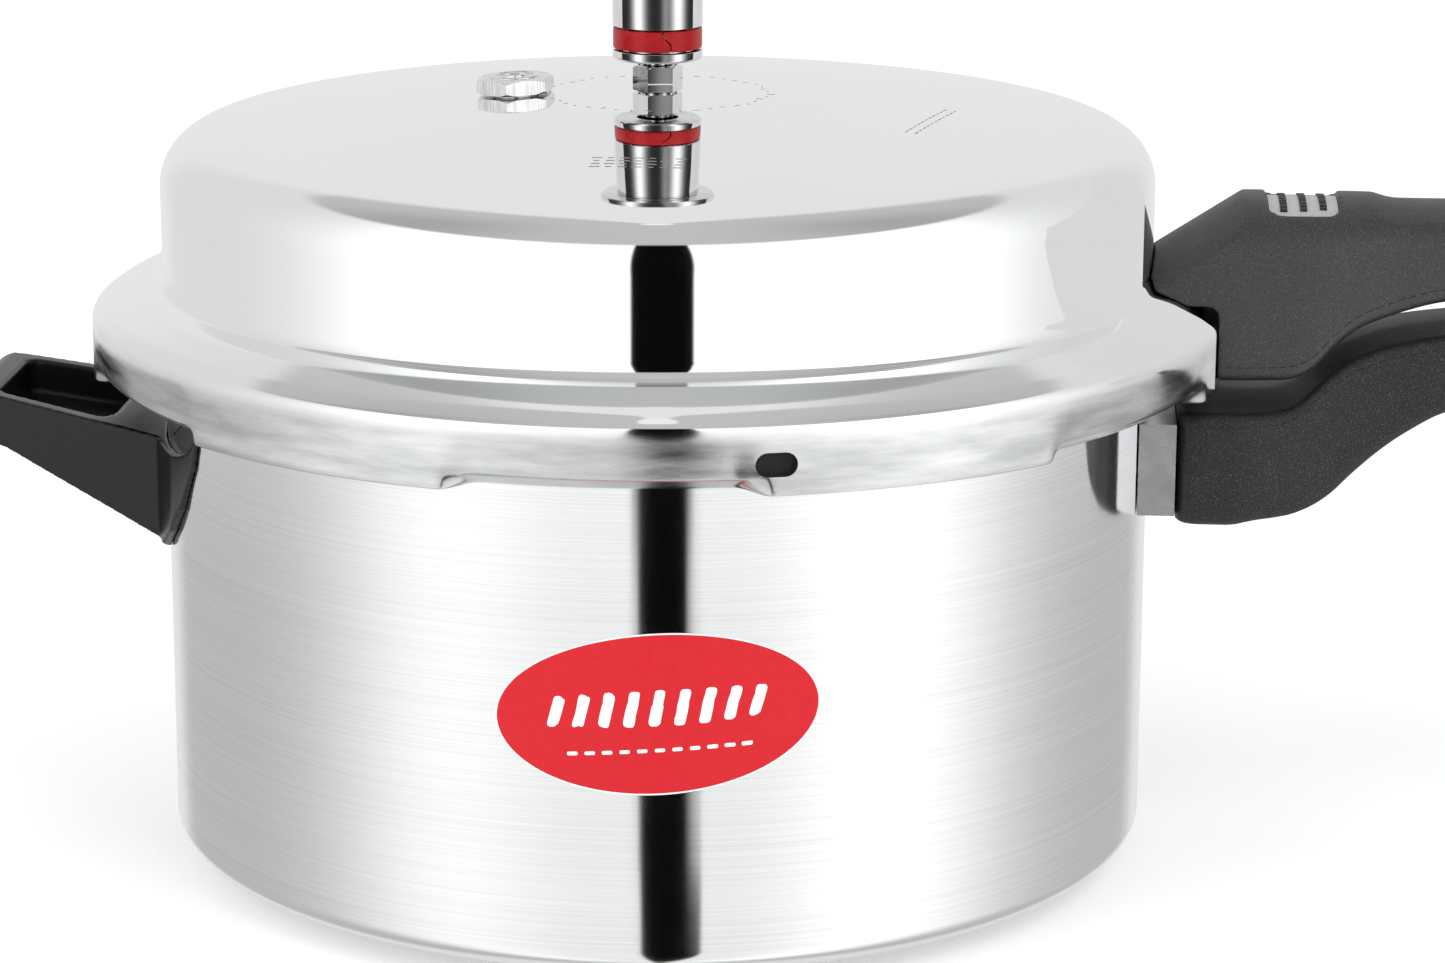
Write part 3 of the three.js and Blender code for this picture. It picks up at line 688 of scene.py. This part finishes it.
def make_gasket():
    def section(azimuth):
        drop = 3.6 * (1 - smoothstep(5, 8, abs(azimuth - SLOT_AZIMUTH)))
        return rounded(
            [(109.6, 117.4), (112.5, 117.4), (118, 119.4), (119.2, 117.4), (122.2, 117.4),
             (122.3, 117.4 - drop), (122.95, 117.4 - drop), (122.95, 121.8), (117.6, 126), (110.2, 124)],
            [0.6, 1, 2, 0.6, 0.1, 0.1, 0.1, 2, 2, 1.5], 4)

    gasket = ring_surface("gasket_ring", section, [1.5 * i for i in range(240)])
    placed(gasket, RUBBER, "lid", "rubber", "sealing_gasket")


# ---- long handles
def loft(name, xs, section_at):
    sections = [section_at(x) for x in xs]
    count = len(sections[0])
    verts = [(x, y, z) for x, section in zip(xs, sections) for y, z in section]
    faces = grid_faces(len(xs), count)
    faces.append(tuple(range(count)))
    last = (len(xs) - 1) * count
    faces.append(tuple(reversed(range(last, last + count))))
    return solid(name, verts, faces)


def spaced(start, end, step):
    count = max(2, round((end - start) / step))
    return [start + (end - start) * i / count for i in range(count + 1)]


LID_HANDLE_BOTTOM = curve_through([
    (104, 113), (125, 113), (138, 113.3), (142.5, 114.3), (146, 116.8), (150, 121), (154.5, 124.4),
    (161, 127), (173, 130.2), (192, 132), (262, 132.2), (275, 133.2), (282, 136), (HANDLE_END, 140)])
LID_HANDLE_TOP = curve_through([
    (104, 151.2), (158, 151.4), (200, 151.4), (262, 151.4), (274, 150), (281.5, 146.5), (HANDLE_END, 142)])
LID_HANDLE_WIDTH = curve_through([
    (104, 22), (142, 22), (153, 19.5), (166, 17.2), (195, 15.5), (235, 16), (262, 17.5), (275, 16.3),
    (282, 12), (HANDLE_END, 5)])
NOSE_SLOPE = 0.648
REAR_FACET = curve_through([(104, 156), (154, 154), (158.5, 151.2), (163.5, 150.2), (HANDLE_END, 150.2)])


def lid_handle_section(x):
    """Arched on top, flat-sided, with a small round under the moulding line."""
    bottom = LID_HANDLE_BOTTOM(x)
    top = LID_HANDLE_TOP(x)
    width = LID_HANDLE_WIDTH(x)
    height = top - bottom
    spring = top - min(11.5, height * 0.55)
    top_width = width - min(3.0, (spring - bottom) * 0.12)
    under = min(3.5, height * 0.2)
    half = []
    for i in range(7):
        angle = math.pi / 2 * i / 6
        half.append((width - under + under * math.sin(angle), bottom + under - under * math.cos(angle)))
    for t in (0.25, 0.5, 0.75):
        half.append((width + (top_width - width) * t, bottom + under + (spring - bottom - under) * t))
    for i in range(25):
        angle = math.pi / 2 * i / 24
        half.append((top_width * math.cos(angle) ** 0.9, spring + (top - spring) * math.sin(angle) ** 0.95))
    nose = 139.3 + NOSE_SLOPE * (x - 110.6)
    limited = []
    for y, z in half:
        facet = min(nose - 0.017 * y * y, REAR_FACET(x) - 0.019 * y * y)
        limited.append((y, max(min(z, facet), bottom + 0.5 if z > bottom + 0.5 else z)))
    bottom_row = [(y * (width - under) / 4, bottom) for y in (1, 2, 3)]
    right = [(0, bottom), *bottom_row, *limited]
    left = [(-y, z) for y, z in reversed(right[1:-1])]
    return [*right[:-1], (0, limited[-1][1]), *left]


def lid_clearance(grow):
    foot = [(SKIRT_RADIUS, 100), (SKIRT_RADIUS, 123.2), (125.2, 125), (122.4, 127.5), (116, 130.8),
            (111.6, 132.6), (CAP_RADIUS, 134.8), (CAP_RADIUS, 152)]
    profile = [(0, 100), *((r + grow, z + grow) for r, z in foot), (CAP_RADIUS + grow, 176), (0, 176)]
    return lathe("lid_clearance", profile, 192, closed=False)


def window_outline(inset):
    corner = 4.2
    points = [(134.4 + inset, -12.6 + inset), (150.1 - inset, -12.6 + inset),
              (150.1 - inset, 12.6 - inset), (134.4 + inset, 12.6 - inset)]
    return rounded(points, corner - inset, 6)


def make_lid_handle():
    xs = spaced(106, 133, 0.9) + spaced(133.9, 262, 1.6) + spaced(263, HANDLE_END, 0.9)
    handle = loft("lid_handle_grip", xs, lid_handle_section)
    notch = prism(
        "notch",
        rounded([(90, 104), (124.2, 104), (124.2, 129.4), (90, 129.4)], [0, 0, 2.6, 0], 6),
        -40, 40, "Y")
    window = prism("window", window_outline(0), 143, 160)
    floor = loft("floor", spaced(128, 156, 4), lambda x: [(y, z - 1.7) for y, z in lid_handle_section(x)])
    combine(window, [floor], "DIFFERENCE")
    screw_well = lathe("well", [(0, 100), (4.9, 100), (4.9, 122.4), (0, 122.4)], 40, closed=False)
    screw_well.location = (134 * MM, 0, 0)
    combine(handle, [lid_clearance(0.1), notch, window, screw_well], "DIFFERENCE")
    soften(handle, 0.55, 4)
    # The lid handle takes the brighter copy of the bakelite, which paints in light falling on it from above.
    placed(handle, LIT_LID_BAKELITE, "lid", "bakelite", "lid_handle")


def lid_handle_surface(x, y):
    """The height of the lid handle's top face."""
    upper = sorted(p for p in lid_handle_section(x) if p[0] >= 0 and p[1] > 138)
    for a, b in zip(upper, upper[1:]):
        if a[0] <= abs(y) <= b[0] and b[0] > a[0]:
            return a[1] + (b[1] - a[1]) * (abs(y) - a[0]) / (b[0] - a[0])
    return upper[-1][1]


def make_label():
    """The grey plate in the window, with generic raised bars in place of any writing."""
    rows = spaced(-12.2, 12.2, 0.5)
    columns = spaced(134.75, 149.75, 0.5)
    verts = [(x, y, lid_handle_surface(x, y) - drop) for drop in (1.2, 1.65) for x in columns for y in rows]
    across = len(rows)
    sheet = across * len(columns)
    faces = grid_faces(len(columns), across, ends_meet=False)
    faces += grid_faces(len(columns), across, sheet, ends_meet=False)
    rim = list(range(across))
    rim += [i * across + across - 1 for i in range(1, len(columns))]
    rim += [(len(columns) - 1) * across + k for k in range(across - 2, -1, -1)]
    rim += [i * across for i in range(len(columns) - 2, 0, -1)]
    for a, b in zip(rim, rim[1:] + rim[:1]):
        faces.append((a, sheet + a, sheet + b, b))
    plate = solid("label_plate_face", verts, faces)
    combine(plate, [prism("trim", window_outline(0.35), 140, 156)], "INTERSECT")
    shade_by_angle(plate, 30)
    placed(plate, LABEL_GREY, "lid", "label", "label_plate")

    bars = []
    for row, x in enumerate((137.9, 142.2, 146.5)):
        y = -9.3 + 0.5 * row
        while y < 9.3:
            length = (1.1, 1.7, 0.8, 1.4)[(len(bars) + row) % 4]
            bars.append((x, y, 90, length, 1.5))
            y += 1.9
    marks = slivers("label_bars", bars, lid_handle_surface, -0.75, -1.4)
    placed(marks, MATTE_BLACK, "lid", "label")


BODY_HANDLE_BOTTOM = curve_through([
    (115.9, 81.8), (118, 81.5), (127, 81.5), (133, 82.5), (140, 83.3), (145, 84.9), (149.5, 87.6),
    (154, 91.9), (159.6, 96.8), (165.4, 101), (173.7, 105.6), (186, 108.8), (204, 110), (262, 109.5),
    (275, 110.8), (282, 113.6), (HANDLE_END, 117.5)])
BODY_HANDLE_TOP = curve_through([
    (115.9, 106.2), (118, 106.5), (134, 106.6), (139.5, 107.3), (143, 109.4), (147, 113), (153, 117.5),
    (160.6, 120.5), (173, 122.9), (190, 124.6), (225, 125.4), (262, 125.5), (275, 124.6),
    (282, 122.2), (HANDLE_END, 118.6)])
BODY_HANDLE_WIDTH = curve_through([
    (115.9, 21), (116.6, 23.4), (118.2, 25.2), (121, 26), (128, 26), (140, 23.6), (152, 20.2),
    (166, 18), (195, 16.6), (235, 17), (262, 18.4), (275, 17), (282, 12.6), (HANDLE_END, 5)])


BODY_HANDLE_DRAFT = 0.9


def body_handle_section(x):
    """Nearly flat-topped, with upright sides that draw in a little towards the top."""
    bottom = BODY_HANDLE_BOTTOM(x)
    top = BODY_HANDLE_TOP(x)
    width = BODY_HANDLE_WIDTH(x)
    height = top - bottom
    low_round = min(3.2, height * 0.3)
    top_round = min(2.6, height * 0.25)
    draft = BODY_HANDLE_DRAFT
    half = [(width * t, bottom) for t in (0, 0.3, 0.6)]
    for i in range(7):
        angle = math.pi / 2 * i / 6
        y = width - low_round + low_round * math.sin(angle)
        half.append((y, bottom + low_round * (1 - math.cos(angle))))
    for t in (0.2, 0.4, 0.6, 0.8):
        half.append((width - draft * t, bottom + low_round + (height - low_round - top_round) * t))
    for i in range(8):
        angle = math.pi / 2 * i / 7
        y = width - draft - top_round * (1 - math.cos(angle))
        half.append((y, top - top_round * (1 - math.sin(angle))))
    half += [(width * t, top + 0.5 * (0.8 - t)) for t in (0.6, 0.3)]
    half.append((0, top + 0.45))
    left = [(-y, z) for y, z in reversed(half[1:-1])]
    return [*half, *left]


def make_body_handle():
    xs = spaced(115.95, 135, 0.6) + spaced(136, 262, 1.5) + spaced(263, HANDLE_END, 0.9)
    handle = loft("body_handle_grip", xs, body_handle_section)
    screw_well = lathe("well", [(0, 70), (5.1, 70), (5.1, 86.4), (0, 86.4)], 40, closed=False)
    screw_well.location = (138 * MM, 0, 0)
    socket = prism("socket", [(-10.4, 88.6), (10.4, 88.6), (10.4, 98.4), (-10.4, 98.4)], 110, 148, "X")
    combine(handle, [screw_well, socket], "DIFFERENCE")
    soften(handle, 0.55, 3)
    placed(handle, MATTE_BLACK, "pot", "bakelite", "body_handle")


def dashes(name, height_at, width_at, start, end, body, dash=1.5, pitch=2.3):
    """The broken flash line that the mould leaves along a handle's side."""
    verts = []
    faces = []
    size = 0.13
    x = start
    while x + dash < end:
        for side in (-1, 1):
            base = len(verts)
            for place in (x, x + dash):
                y = side * width_at(place)
                z = height_at(place)
                verts += [(place, y - side * 0.3, z - size), (place, y + side * size, z),
                          (place, y - side * 0.3, z + size)]
            ring = [(0, 1, 4, 3), (1, 2, 5, 4), (2, 0, 3, 5), (0, 2, 1), (3, 4, 5)]
            faces += [tuple(base + k for k in face) for face in ring]
        x += pitch
    placed(solid(name, verts, faces, smooth=False), MATTE_BLACK, body, "bakelite")


# ---- helper handle
def grip_top(x):
    return 97 + (-105 - x) * math.tan(math.radians(10.4))


def mirrored(points):
    return [*points, *((x, -y) for x, y in reversed(points))]


def mirrored_end(points):
    return [*points, *((-y, z) for y, z in reversed(points))]


def make_helper_handle():
    side = rounded(
        [(-80, 73), (-106.2, 73), (-145, 92.8), (-153, 94.6), (-158, 99.5), (-153.5, 105.9),
         (-105, 97), (-98.5, 98.8), (-93.5, 106), (-80, 106.2)],
        [0, 1, 8, 4, 3.5, 4, 16, 12, 1, 0], 8)
    helper = prism("helper_grip", side, -70, 70, "Y")
    plan = rounded(
        mirrored([(-158, 9), (-153, 19.6), (-145, 21.4), (-109, 28), (-103.2, 43.6), (-94.4, 58.2),
                  (-80, 58.2)]),
        [9, 7, 12, 1.2, 12, 1, 0, 0, 1, 12, 1.2, 12, 7, 9], 8)
    end = rounded(
        mirrored_end([(29.5, 72.9), (40, 79.0), (48.5, 86.4), (55.8, 97.3), (59, 107)]),
        [0, 6, 10, 10, 0, 0, 10, 10, 6, 0], 6)
    combine(helper, [prism("plan", plan, 60, 120, "Z"), prism("end", end, -170, -70, "X")], "INTERSECT")
    pocket_plan = rounded(
        mirrored([(-147.6, 16.6), (-122, 21), (-121, 14)]), [4.5, 4, 3, 3, 4, 4.5], 8)
    pocket = prism("pocket", pocket_plan, 60, 130, "Z")
    depth = 8
    pocket_side = [(-120, grip_top(-120) - depth), (-149, grip_top(-149) - depth), (-149, 130), (-120, 130)]
    combine(pocket, [prism("pocket_side", pocket_side, -40, 40, "Y")], "INTERSECT")
    reach = POT_RADIUS + 0.02
    wall = lathe("wall", [(0, 50), (reach, 50), (reach, 140), (0, 140)], 256, closed=False)
    bracket = prism("bracket_space", [(-113.8, -17.8), (-95, -17.8), (-95, 17.8), (-113.8, 17.8)], 77.7, 91.3)
    well = lathe("well", [(0, 60), (4.5, 60), (4.5, 83.6), (0, 83.6)], 40, closed=False)
    well.location = (-119.5 * MM, 0, 0)
    combine(helper, [wall, pocket, bracket, well], "DIFFERENCE")
    soften(helper, 0.5, 4)
    placed(helper, GLOSS_BLACK, "pot", "gloss_bakelite", "helper_handle")


# ---- valves and weight
def hexagon(radius, turn):
    return [turned(radius, 0, turn + 60 * i) for i in range(6)]


def make_vent_tube():
    foot = APEX + 0.3
    top = 177.9
    tube = prism("vent_tube_body", hexagon(5.55, 12), foot, top)
    chamfer = lathe("chamfer", [(0, foot - 1), (5.0, foot - 1), (5.7, foot + 0.6), (5.7, top - 0.7),
                                (4.8, top + 0.02), (0, top + 0.02)], 96, closed=False)
    combine(tube, [chamfer], "INTERSECT")
    recess = lathe("recess", [(3.1, top - 1.3), (4.3, top - 1.3), (4.3, top + 2), (3.1, top + 2)], 96)
    combine(tube, [recess], "DIFFERENCE")
    neck = lathe("neck", rounded(
        [(0, 157), (4, 157), (4, foot + 0.2), (3.1, foot + 0.6), (3.1, 191), (1.2, 191), (1.2, 176),
         (0, 176)],
        [0, 0.5, 0.2, 0.2, 0.7, 0.4, 0.2, 0], 4, closed=False), 96, closed=False)
    combine(tube, [neck], "UNION")
    shade_by_angle(tube, 30)
    bevel(tube, 0.12, 35)
    placed(tube, CHROME, "lid", "chrome", "vent_tube")


def make_safety_valve():
    valve = prism("safety_valve_hex", hexagon(9, 24), 0.35, 3.75)
    edge = [(0, 0.3), (8.0, 0.3), (9.1, 1.0), (9.1, 2.9), (7.5, 3.8), (0, 3.8)]
    chamfer = lathe("chamfer", edge, 96, closed=False)
    combine(valve, [chamfer], "INTERSECT")
    stem = lathe("stem", rounded(
        [(0, -13), (5, -13), (5, 1.4), (5.7, 1.4), (5.7, 4.15), (4.6, 4.15), (4.0, 3.4), (2.75, 3.4),
         (2.45, 4.25), (1.6, 4.25), (1.2, 3.7), (0, 3.7)],
        [0, 0.4, 0.1, 0.1, 0.5, 0.3, 0.3, 0.2, 0.3, 0.1, 0.1, 0], 4, closed=False), 96, closed=False)
    combine(valve, [stem], "UNION")
    radius = math.hypot(*SAFETY_VALVE_PLACE)
    tilt = math.atan(2 * DOME * radius)
    seat = Vector((*SAFETY_VALVE_PLACE, dome_height(radius)))
    place = Matrix.Translation(seat * MM) @ Matrix.Rotation(-tilt, 4, "Y")
    valve.data.transform(place)
    shade_by_angle(valve, 30)
    bevel(valve, 0.12, 35)
    placed(valve, SCRATCHED, "lid", "satin_aluminium", "safety_valve_body")


def make_weight():
    waist = WEIGHT_RADIUS - 1.6
    section = rounded(
        [(4.7, 179.3), (9.6, 179.3), (WEIGHT_RADIUS, 179.8), (WEIGHT_RADIUS, 181.4), (waist, 181.4),
         (waist, 186.7), (WEIGHT_RADIUS, 186.7), (WEIGHT_RADIUS, 208.8), (2.6, 208.8), (2.6, 198.8),
         (4.7, 198.8)],
        [0.2, 0.3, 0.3, 0.15, 0.1, 0.1, 0.25, 0.3, 0.1, 0.1, 0.1], 3)
    rings = []
    for r in spaced(5.2, 9.0, 0.38):
        rings += [(r, 179.3), (r + 0.1, 179.37), (r + 0.2, 179.3)]
    body = lathe("weight_cylinder", [*section[:4], *rings, *section[4:]], 128)
    shade_by_angle(body, 25)
    placed(body, CHROME, "weight", "chrome", "weight_body")

    cap = lathe("weight_top", rounded(
        [(0, 209.1), (WEIGHT_RADIUS, 209.1), (10.4, 209.6), (13.5, 209.7), (14, 210.3), (14, 213),
         (13.3, 213.7), (4.2, 213.7), (3.7, 214.9), (0, 215.2)],
        [0, 0.1, 0.3, 0.3, 0.3, 0.4, 0.4, 0.5, 0.6, 0], 4, closed=False), 128, closed=False)
    shade_by_angle(cap, 30)
    placed(cap, CHROME, "weight", "chrome", "weight_cap")

    band = lathe("weight_ring", rounded(
        [(8.75, 181.8), (9.85, 181.8), (9.85, 186.3), (8.75, 186.3)], 0.35, 3), 160)
    split = prism("split", [(3.6, 180), (3.85, 180), (3.85, 183.6), (2.1, 185.4), (2.1, 188), (1.9, 188),
                            (1.9, 185.2), (3.6, 183.4)], -14, -5, "Y")
    combine(band, [split], "DIFFERENCE")
    shade_by_angle(band, 30)
    placed(band, RED_BAND, "weight", "silicone", "weight_band")


def make_engravings():
    """Generic ticks round the dome, and two blocks of generic dashes, in place of any writing."""
    def dome_at(x, y):
        return dome_height(math.hypot(x, y))

    ticks = []
    for i in range(44):
        angle = 360 * i / 44
        radius = 24.5 + (0.6, 0, -0.5, 0.2)[i % 4]
        lean = (0, 90, 20, 70, 90)[i % 5]
        x, y = turned(radius, 0, angle)
        ticks.append((x, y, angle + lean, (1.7, 1.0, 1.4)[i % 3], 0.22))
    blocks = []
    for centre, direction, lines, columns in (((2, -70), 0, 4, 7), ((61, -17), 75, 2, 11)):
        for line in range(lines):
            for column in range(columns):
                length = (2.2, 1.3, 1.8)[(line * 2 + column) % 3]
                x, y = turned((column - (columns - 1) / 2) * 2.9, (line - (lines - 1) / 2) * 2.2, direction)
                blocks.append((centre[0] + x, centre[1] + y, direction, length, 0.3))
    for name, strokes in (("dome_ticks", ticks), ("dome_dashes", blocks)):
        placed(slivers(name, strokes, dome_at, 0.03, -0.2), ENGRAVED, "lid", "polished_aluminium")


# ---- carried-over CAD nodes
def smoothing_group(angle):
    """A node group that shades faces smooth, except across edges sharper than the angle."""
    group = bpy.data.node_groups.new("shade_by_angle", "GeometryNodeTree")
    group.interface.new_socket("Geometry", in_out="INPUT", socket_type="NodeSocketGeometry")
    group.interface.new_socket("Geometry", in_out="OUTPUT", socket_type="NodeSocketGeometry")
    add = group.nodes.new
    link = group.links.new
    start = add("NodeGroupInput")
    end = add("NodeGroupOutput")
    faces = add("GeometryNodeSetShadeSmooth")
    edges = add("GeometryNodeSetShadeSmooth")
    edges.domain = "EDGE"
    edge_angle = add("GeometryNodeInputMeshEdgeAngle")
    below = add("FunctionNodeCompare")
    below.operation = "LESS_THAN"
    below.inputs["B"].default_value = math.radians(angle)
    link(edge_angle.outputs["Unsigned Angle"], below.inputs["A"])
    link(below.outputs["Result"], edges.inputs["Shade Smooth"])
    link(start.outputs["Geometry"], faces.inputs["Geometry"])
    link(faces.outputs["Geometry"], edges.inputs["Geometry"])
    link(edges.outputs["Geometry"], end.inputs["Geometry"])
    return group


def finish_cad_nodes():
    """The small pieces whose CAD shape is right get a rounded edge and a real material."""
    looks = {
        "body_handle_bracket": (BRACKET, 0.7),
        "helper_handle_bracket": (BRACKET, 0.5),
        "body_bracket_rivet_1": (STEEL, 0.3), "body_bracket_rivet_2": (STEEL, 0.3),
        "helper_bracket_rivet_1": (STEEL, 0.3), "helper_bracket_rivet_2": (STEEL, 0.3),
        "body_handle_screw": (STEEL, 0.15), "helper_handle_screw": (STEEL, 0.15),
        "lid_handle_screw": (STEEL, 0.15),
        "lid_handle_bracket": (STEEL, 0.2),
        "lid_bracket_rivet_1": (STEEL, 0.1), "lid_bracket_rivet_2": (STEEL, 0.1),
        "vent_tube_washer": (STEEL, 0.1), "vent_tube_nut": (STEEL, 0.3),
        "safety_valve_washer": (RUBBER, 0.3), "safety_valve_nut": (BRACKET, 0.3),
        "fusible_plug": (ALLOY, 0.1), "vent_needle": (STEEL, 0.1),
    }
    smoothing = smoothing_group(28)
    for name, (material, edge) in looks.items():
        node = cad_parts[name]
        node.data.materials.clear()
        node.data.materials.append(material)
        bevel(node, edge, 28)
        node.modifiers.new("shade", "NODES").node_group = smoothing


# ---- studio
AIM = Vector((0, 0, 70)) * MM
CAMERA_AZIMUTH = 5.0
CAMERA_ELEVATION = 14.94
CAMERA_DISTANCE = 1.0002


def make_camera():
    a = math.radians(CAMERA_AZIMUTH)
    e = math.radians(CAMERA_ELEVATION)
    away = Vector((math.sin(a) * math.cos(e), -math.cos(a) * math.cos(e), math.sin(e)))
    data = bpy.data.cameras.new("camera")
    data.sensor_width = 36
    data.lens = 109.58
    data.shift_x = 0.0449
    data.shift_y = 0.0375
    camera = bpy.data.objects.new("camera", data)
    camera.location = AIM + away * CAMERA_DISTANCE
    camera.rotation_euler = (-away).to_track_quat("-Z", "Y").to_euler()
    bpy.context.scene.collection.objects.link(camera)
    bpy.context.scene.camera = camera


def glow_material(name):
    """Light given off as the surface's own glow attribute says."""
    material = bpy.data.materials.new(name)
    material.use_nodes = True
    tree = material.node_tree
    link = tree.links.new
    tree.nodes.remove(tree.nodes["Principled BSDF"])
    glow = tree.nodes.new("ShaderNodeEmission")
    source = tree.nodes.new("ShaderNodeAttribute")
    source.attribute_name = "glow"
    link(source.outputs["Color"], glow.inputs["Color"])
    link(glow.outputs["Emission"], tree.nodes["Material Output"].inputs["Surface"])
    return material


def lobe(x, middle, spread):
    return math.exp(-((x - middle) / spread) ** 2)


# The black gap's edges, as azimuth by elevation.
GAP_LEFT = curve_through([(-20, -4.0), (-15, -4.2), (-11, -6.0)])
GAP_RIGHT = curve_through([(-20, 9.6), (-15, 6.2), (-11, 7.6)])
CARD_TOP = 45                    # elevation where the white cards end and the grey roof begins


def side_cards(azimuth, elevation):
    """White cards to the left and right of the camera, with a black gap between them."""
    if GAP_LEFT(elevation) < azimuth < GAP_RIGHT(elevation):
        return 0.003
    base = 0.55 + 0.2 * smoothstep(-13, -10, elevation)
    return base + 0.75 * lobe(azimuth, 52, 34) + 0.6 * lobe(azimuth, -46, 32) + 0.3 * lobe(azimuth, 0, 22)


def roof(azimuth, elevation):
    flag = lobe(abs(azimuth), 80, 34) * (1 - smoothstep(58, 84, elevation))
    return 0.55 - 0.14 * flag


def tent_brightness(azimuth, elevation):
    """How bright the studio is in one direction; azimuth is counted from the camera, to the right."""
    side = abs(azimuth)
    value = side_cards(azimuth, elevation)
    value += (roof(azimuth, elevation) - value) * smoothstep(CARD_TOP - 1, CARD_TOP + 3, elevation)
    return value + (0.82 - value) * smoothstep(140, 156, side)


def glowing_stage(name, verts, shades, faces, material):
    """A surface that only reflections see; each point has its own brightness."""
    stage = new_object(name, verts, faces)
    layer = stage.data.color_attributes.new("glow", "FLOAT_COLOR", "POINT")
    for i, shade in enumerate(shades):
        layer.data[i].color = (shade, shade, shade, 1)
    stage.data.materials.append(material)
    for ray in ("camera", "diffuse", "shadow", "transmission"):
        setattr(stage, f"visible_{ray}", False)
    return stage


def one_sided_glow(name, reach):
    """A glow on a face's front for reflections from within its reach; otherwise it is clear."""
    material = glow_material(name)
    tree = material.node_tree
    add = tree.nodes.new
    link = tree.links.new
    mix = add("ShaderNodeMixShader")
    clear = add("ShaderNodeBsdfTransparent")
    geometry = add("ShaderNodeNewGeometry")
    path = add("ShaderNodeLightPath")
    far = add("ShaderNodeMath")
    far.operation = "GREATER_THAN"
    far.inputs[1].default_value = reach * MM
    hidden = add("ShaderNodeMath")
    hidden.operation = "MAXIMUM"
    link(path.outputs["Ray Length"], far.inputs[0])
    link(far.outputs["Value"], hidden.inputs[0])
    link(geometry.outputs["Backfacing"], hidden.inputs[1])
    link(hidden.outputs["Value"], mix.inputs[0])
    link(tree.nodes["Emission"].outputs["Emission"], mix.inputs[1])
    link(clear.outputs["BSDF"], mix.inputs[2])
    link(mix.outputs["Shader"], tree.nodes["Material Output"].inputs["Surface"])
    return material


def weight_strips(azimuth):
    """Narrow bright strips between black flags."""
    strips = 1.3 * lobe(azimuth, 41, 13) + 1.3 * lobe(azimuth, -38, 12) + 0.25 * lobe(azimuth, 15, 7)
    return 0.03 + strips


def make_weight_flags():
    """Strips and flags round the front of the pressure weight, seen only from inside and from near."""
    radius = 20
    azimuths = spaced(-80, 80, 1)
    verts = []
    for height in (171.8, 262):
        for azimuth in azimuths:
            a = math.radians(azimuth + CAMERA_AZIMUTH)
            verts.append((radius * math.sin(a), -radius * math.cos(a), height))
    count = len(azimuths)
    faces = [(k, count + k, count + k + 1, k + 1) for k in range(count - 1)]
    shades = [weight_strips(azimuth) for azimuth in azimuths] * 2
    glowing_stage("weight_flags", verts, shades, faces, one_sided_glow("flag_glow", 19))


def make_handle_card():
    """A white card beside the long handles, which keeps them out of the lid's wall."""
    y = -23.2
    verts = [(108, y, 112), (290, y, 112), (290, y, 175), (108, y, 175)]
    glowing_stage("handle_card", verts, [0.74] * 4, [(0, 1, 2, 3)], one_sided_glow("card_glow", 400))


def make_tent():
    """The enclosure that carries the studio's brightness in each direction."""
    radius = 2000
    azimuths = [-180 + 0.5 * i for i in range(720)]
    elevations = spaced(-88, -20, 2) + spaced(-19.5, 0, 0.5) + spaced(1, 88, 1)
    verts = []
    shades = []
    for elevation in elevations:
        e = math.radians(elevation)
        for azimuth in azimuths:
            a = math.radians(azimuth + CAMERA_AZIMUTH)
            verts.append((math.sin(a) * math.cos(e) * radius, -math.cos(a) * math.cos(e) * radius,
                          math.sin(e) * radius))
            shades.append(tent_brightness(azimuth, elevation))
    faces = grid_faces(len(elevations), len(azimuths))
    tent = glowing_stage("light_tent", verts, shades, faces, glow_material("tent_glow"))
    tent.location = AIM


def make_floor():
    look = Look("pale_floor")
    grain = look.noise(look.coordinates, 8, 2.0, 0.5)
    look.colour(look.shades(grain, (0.86, 0.86, 0.86), (0.9, 0.9, 0.9), 0.3, 0.7))
    look.shader.inputs["Roughness"].default_value = 0.9
    look.shader.inputs["Emission Color"].default_value = (1, 1, 1, 1)
    look.shader.inputs["Emission Strength"].default_value = 0.22
    reach = 6000
    corners = [(-reach, -reach, 0), (reach, -reach, 0), (reach, reach, 0), (-reach, reach, 0)]
    floor = new_object("floor", corners, [(0, 1, 2, 3)])
    floor.data.materials.append(look.material)
    floor.visible_glossy = False


def area_light(name, location, power):
    data = bpy.data.lights.new(name, "AREA")
    data.shape = "SQUARE"
    data.size = 1.0
    data.energy = power
    light = bpy.data.objects.new(name, data)
    light.location = location
    light.rotation_euler = (AIM - Vector(location)).to_track_quat("-Z", "Y").to_euler()
    light.visible_camera = False
    light.visible_glossy = False
    bpy.context.scene.collection.objects.link(light)


def make_lights():
    world = bpy.data.worlds.new("studio")
    world.use_nodes = True
    background = world.node_tree.nodes["Background"]
    background.inputs["Color"].default_value = (1, 1, 1, 1)
    background.inputs["Strength"].default_value = 0.9
    bpy.context.scene.world = world
    area_light("key", (0.9, -1.0, 1.3), 8)
    area_light("fill", (-1.0, -0.9, 1.0), 5)
    bpy.context.scene.view_settings.view_transform = "Standard"


# ---- everything
make_camera()
make_pot()
make_sticker()
make_lid()
make_gasket()
make_lid_handle()
make_label()
make_body_handle()
dashes("lid_handle_flash", lambda x: LID_HANDLE_BOTTOM(x) + 3.5, LID_HANDLE_WIDTH, 126, 270, "lid")
dashes("body_handle_flash", lambda x: BODY_HANDLE_TOP(x) - 2.6,
       lambda x: BODY_HANDLE_WIDTH(x) - BODY_HANDLE_DRAFT, 120, 270, "pot")
make_helper_handle()
make_vent_tube()
make_safety_valve()
make_weight()
make_engravings()
finish_cad_nodes()
make_tent()
make_weight_flags()
make_handle_card()
make_floor()
make_lights()
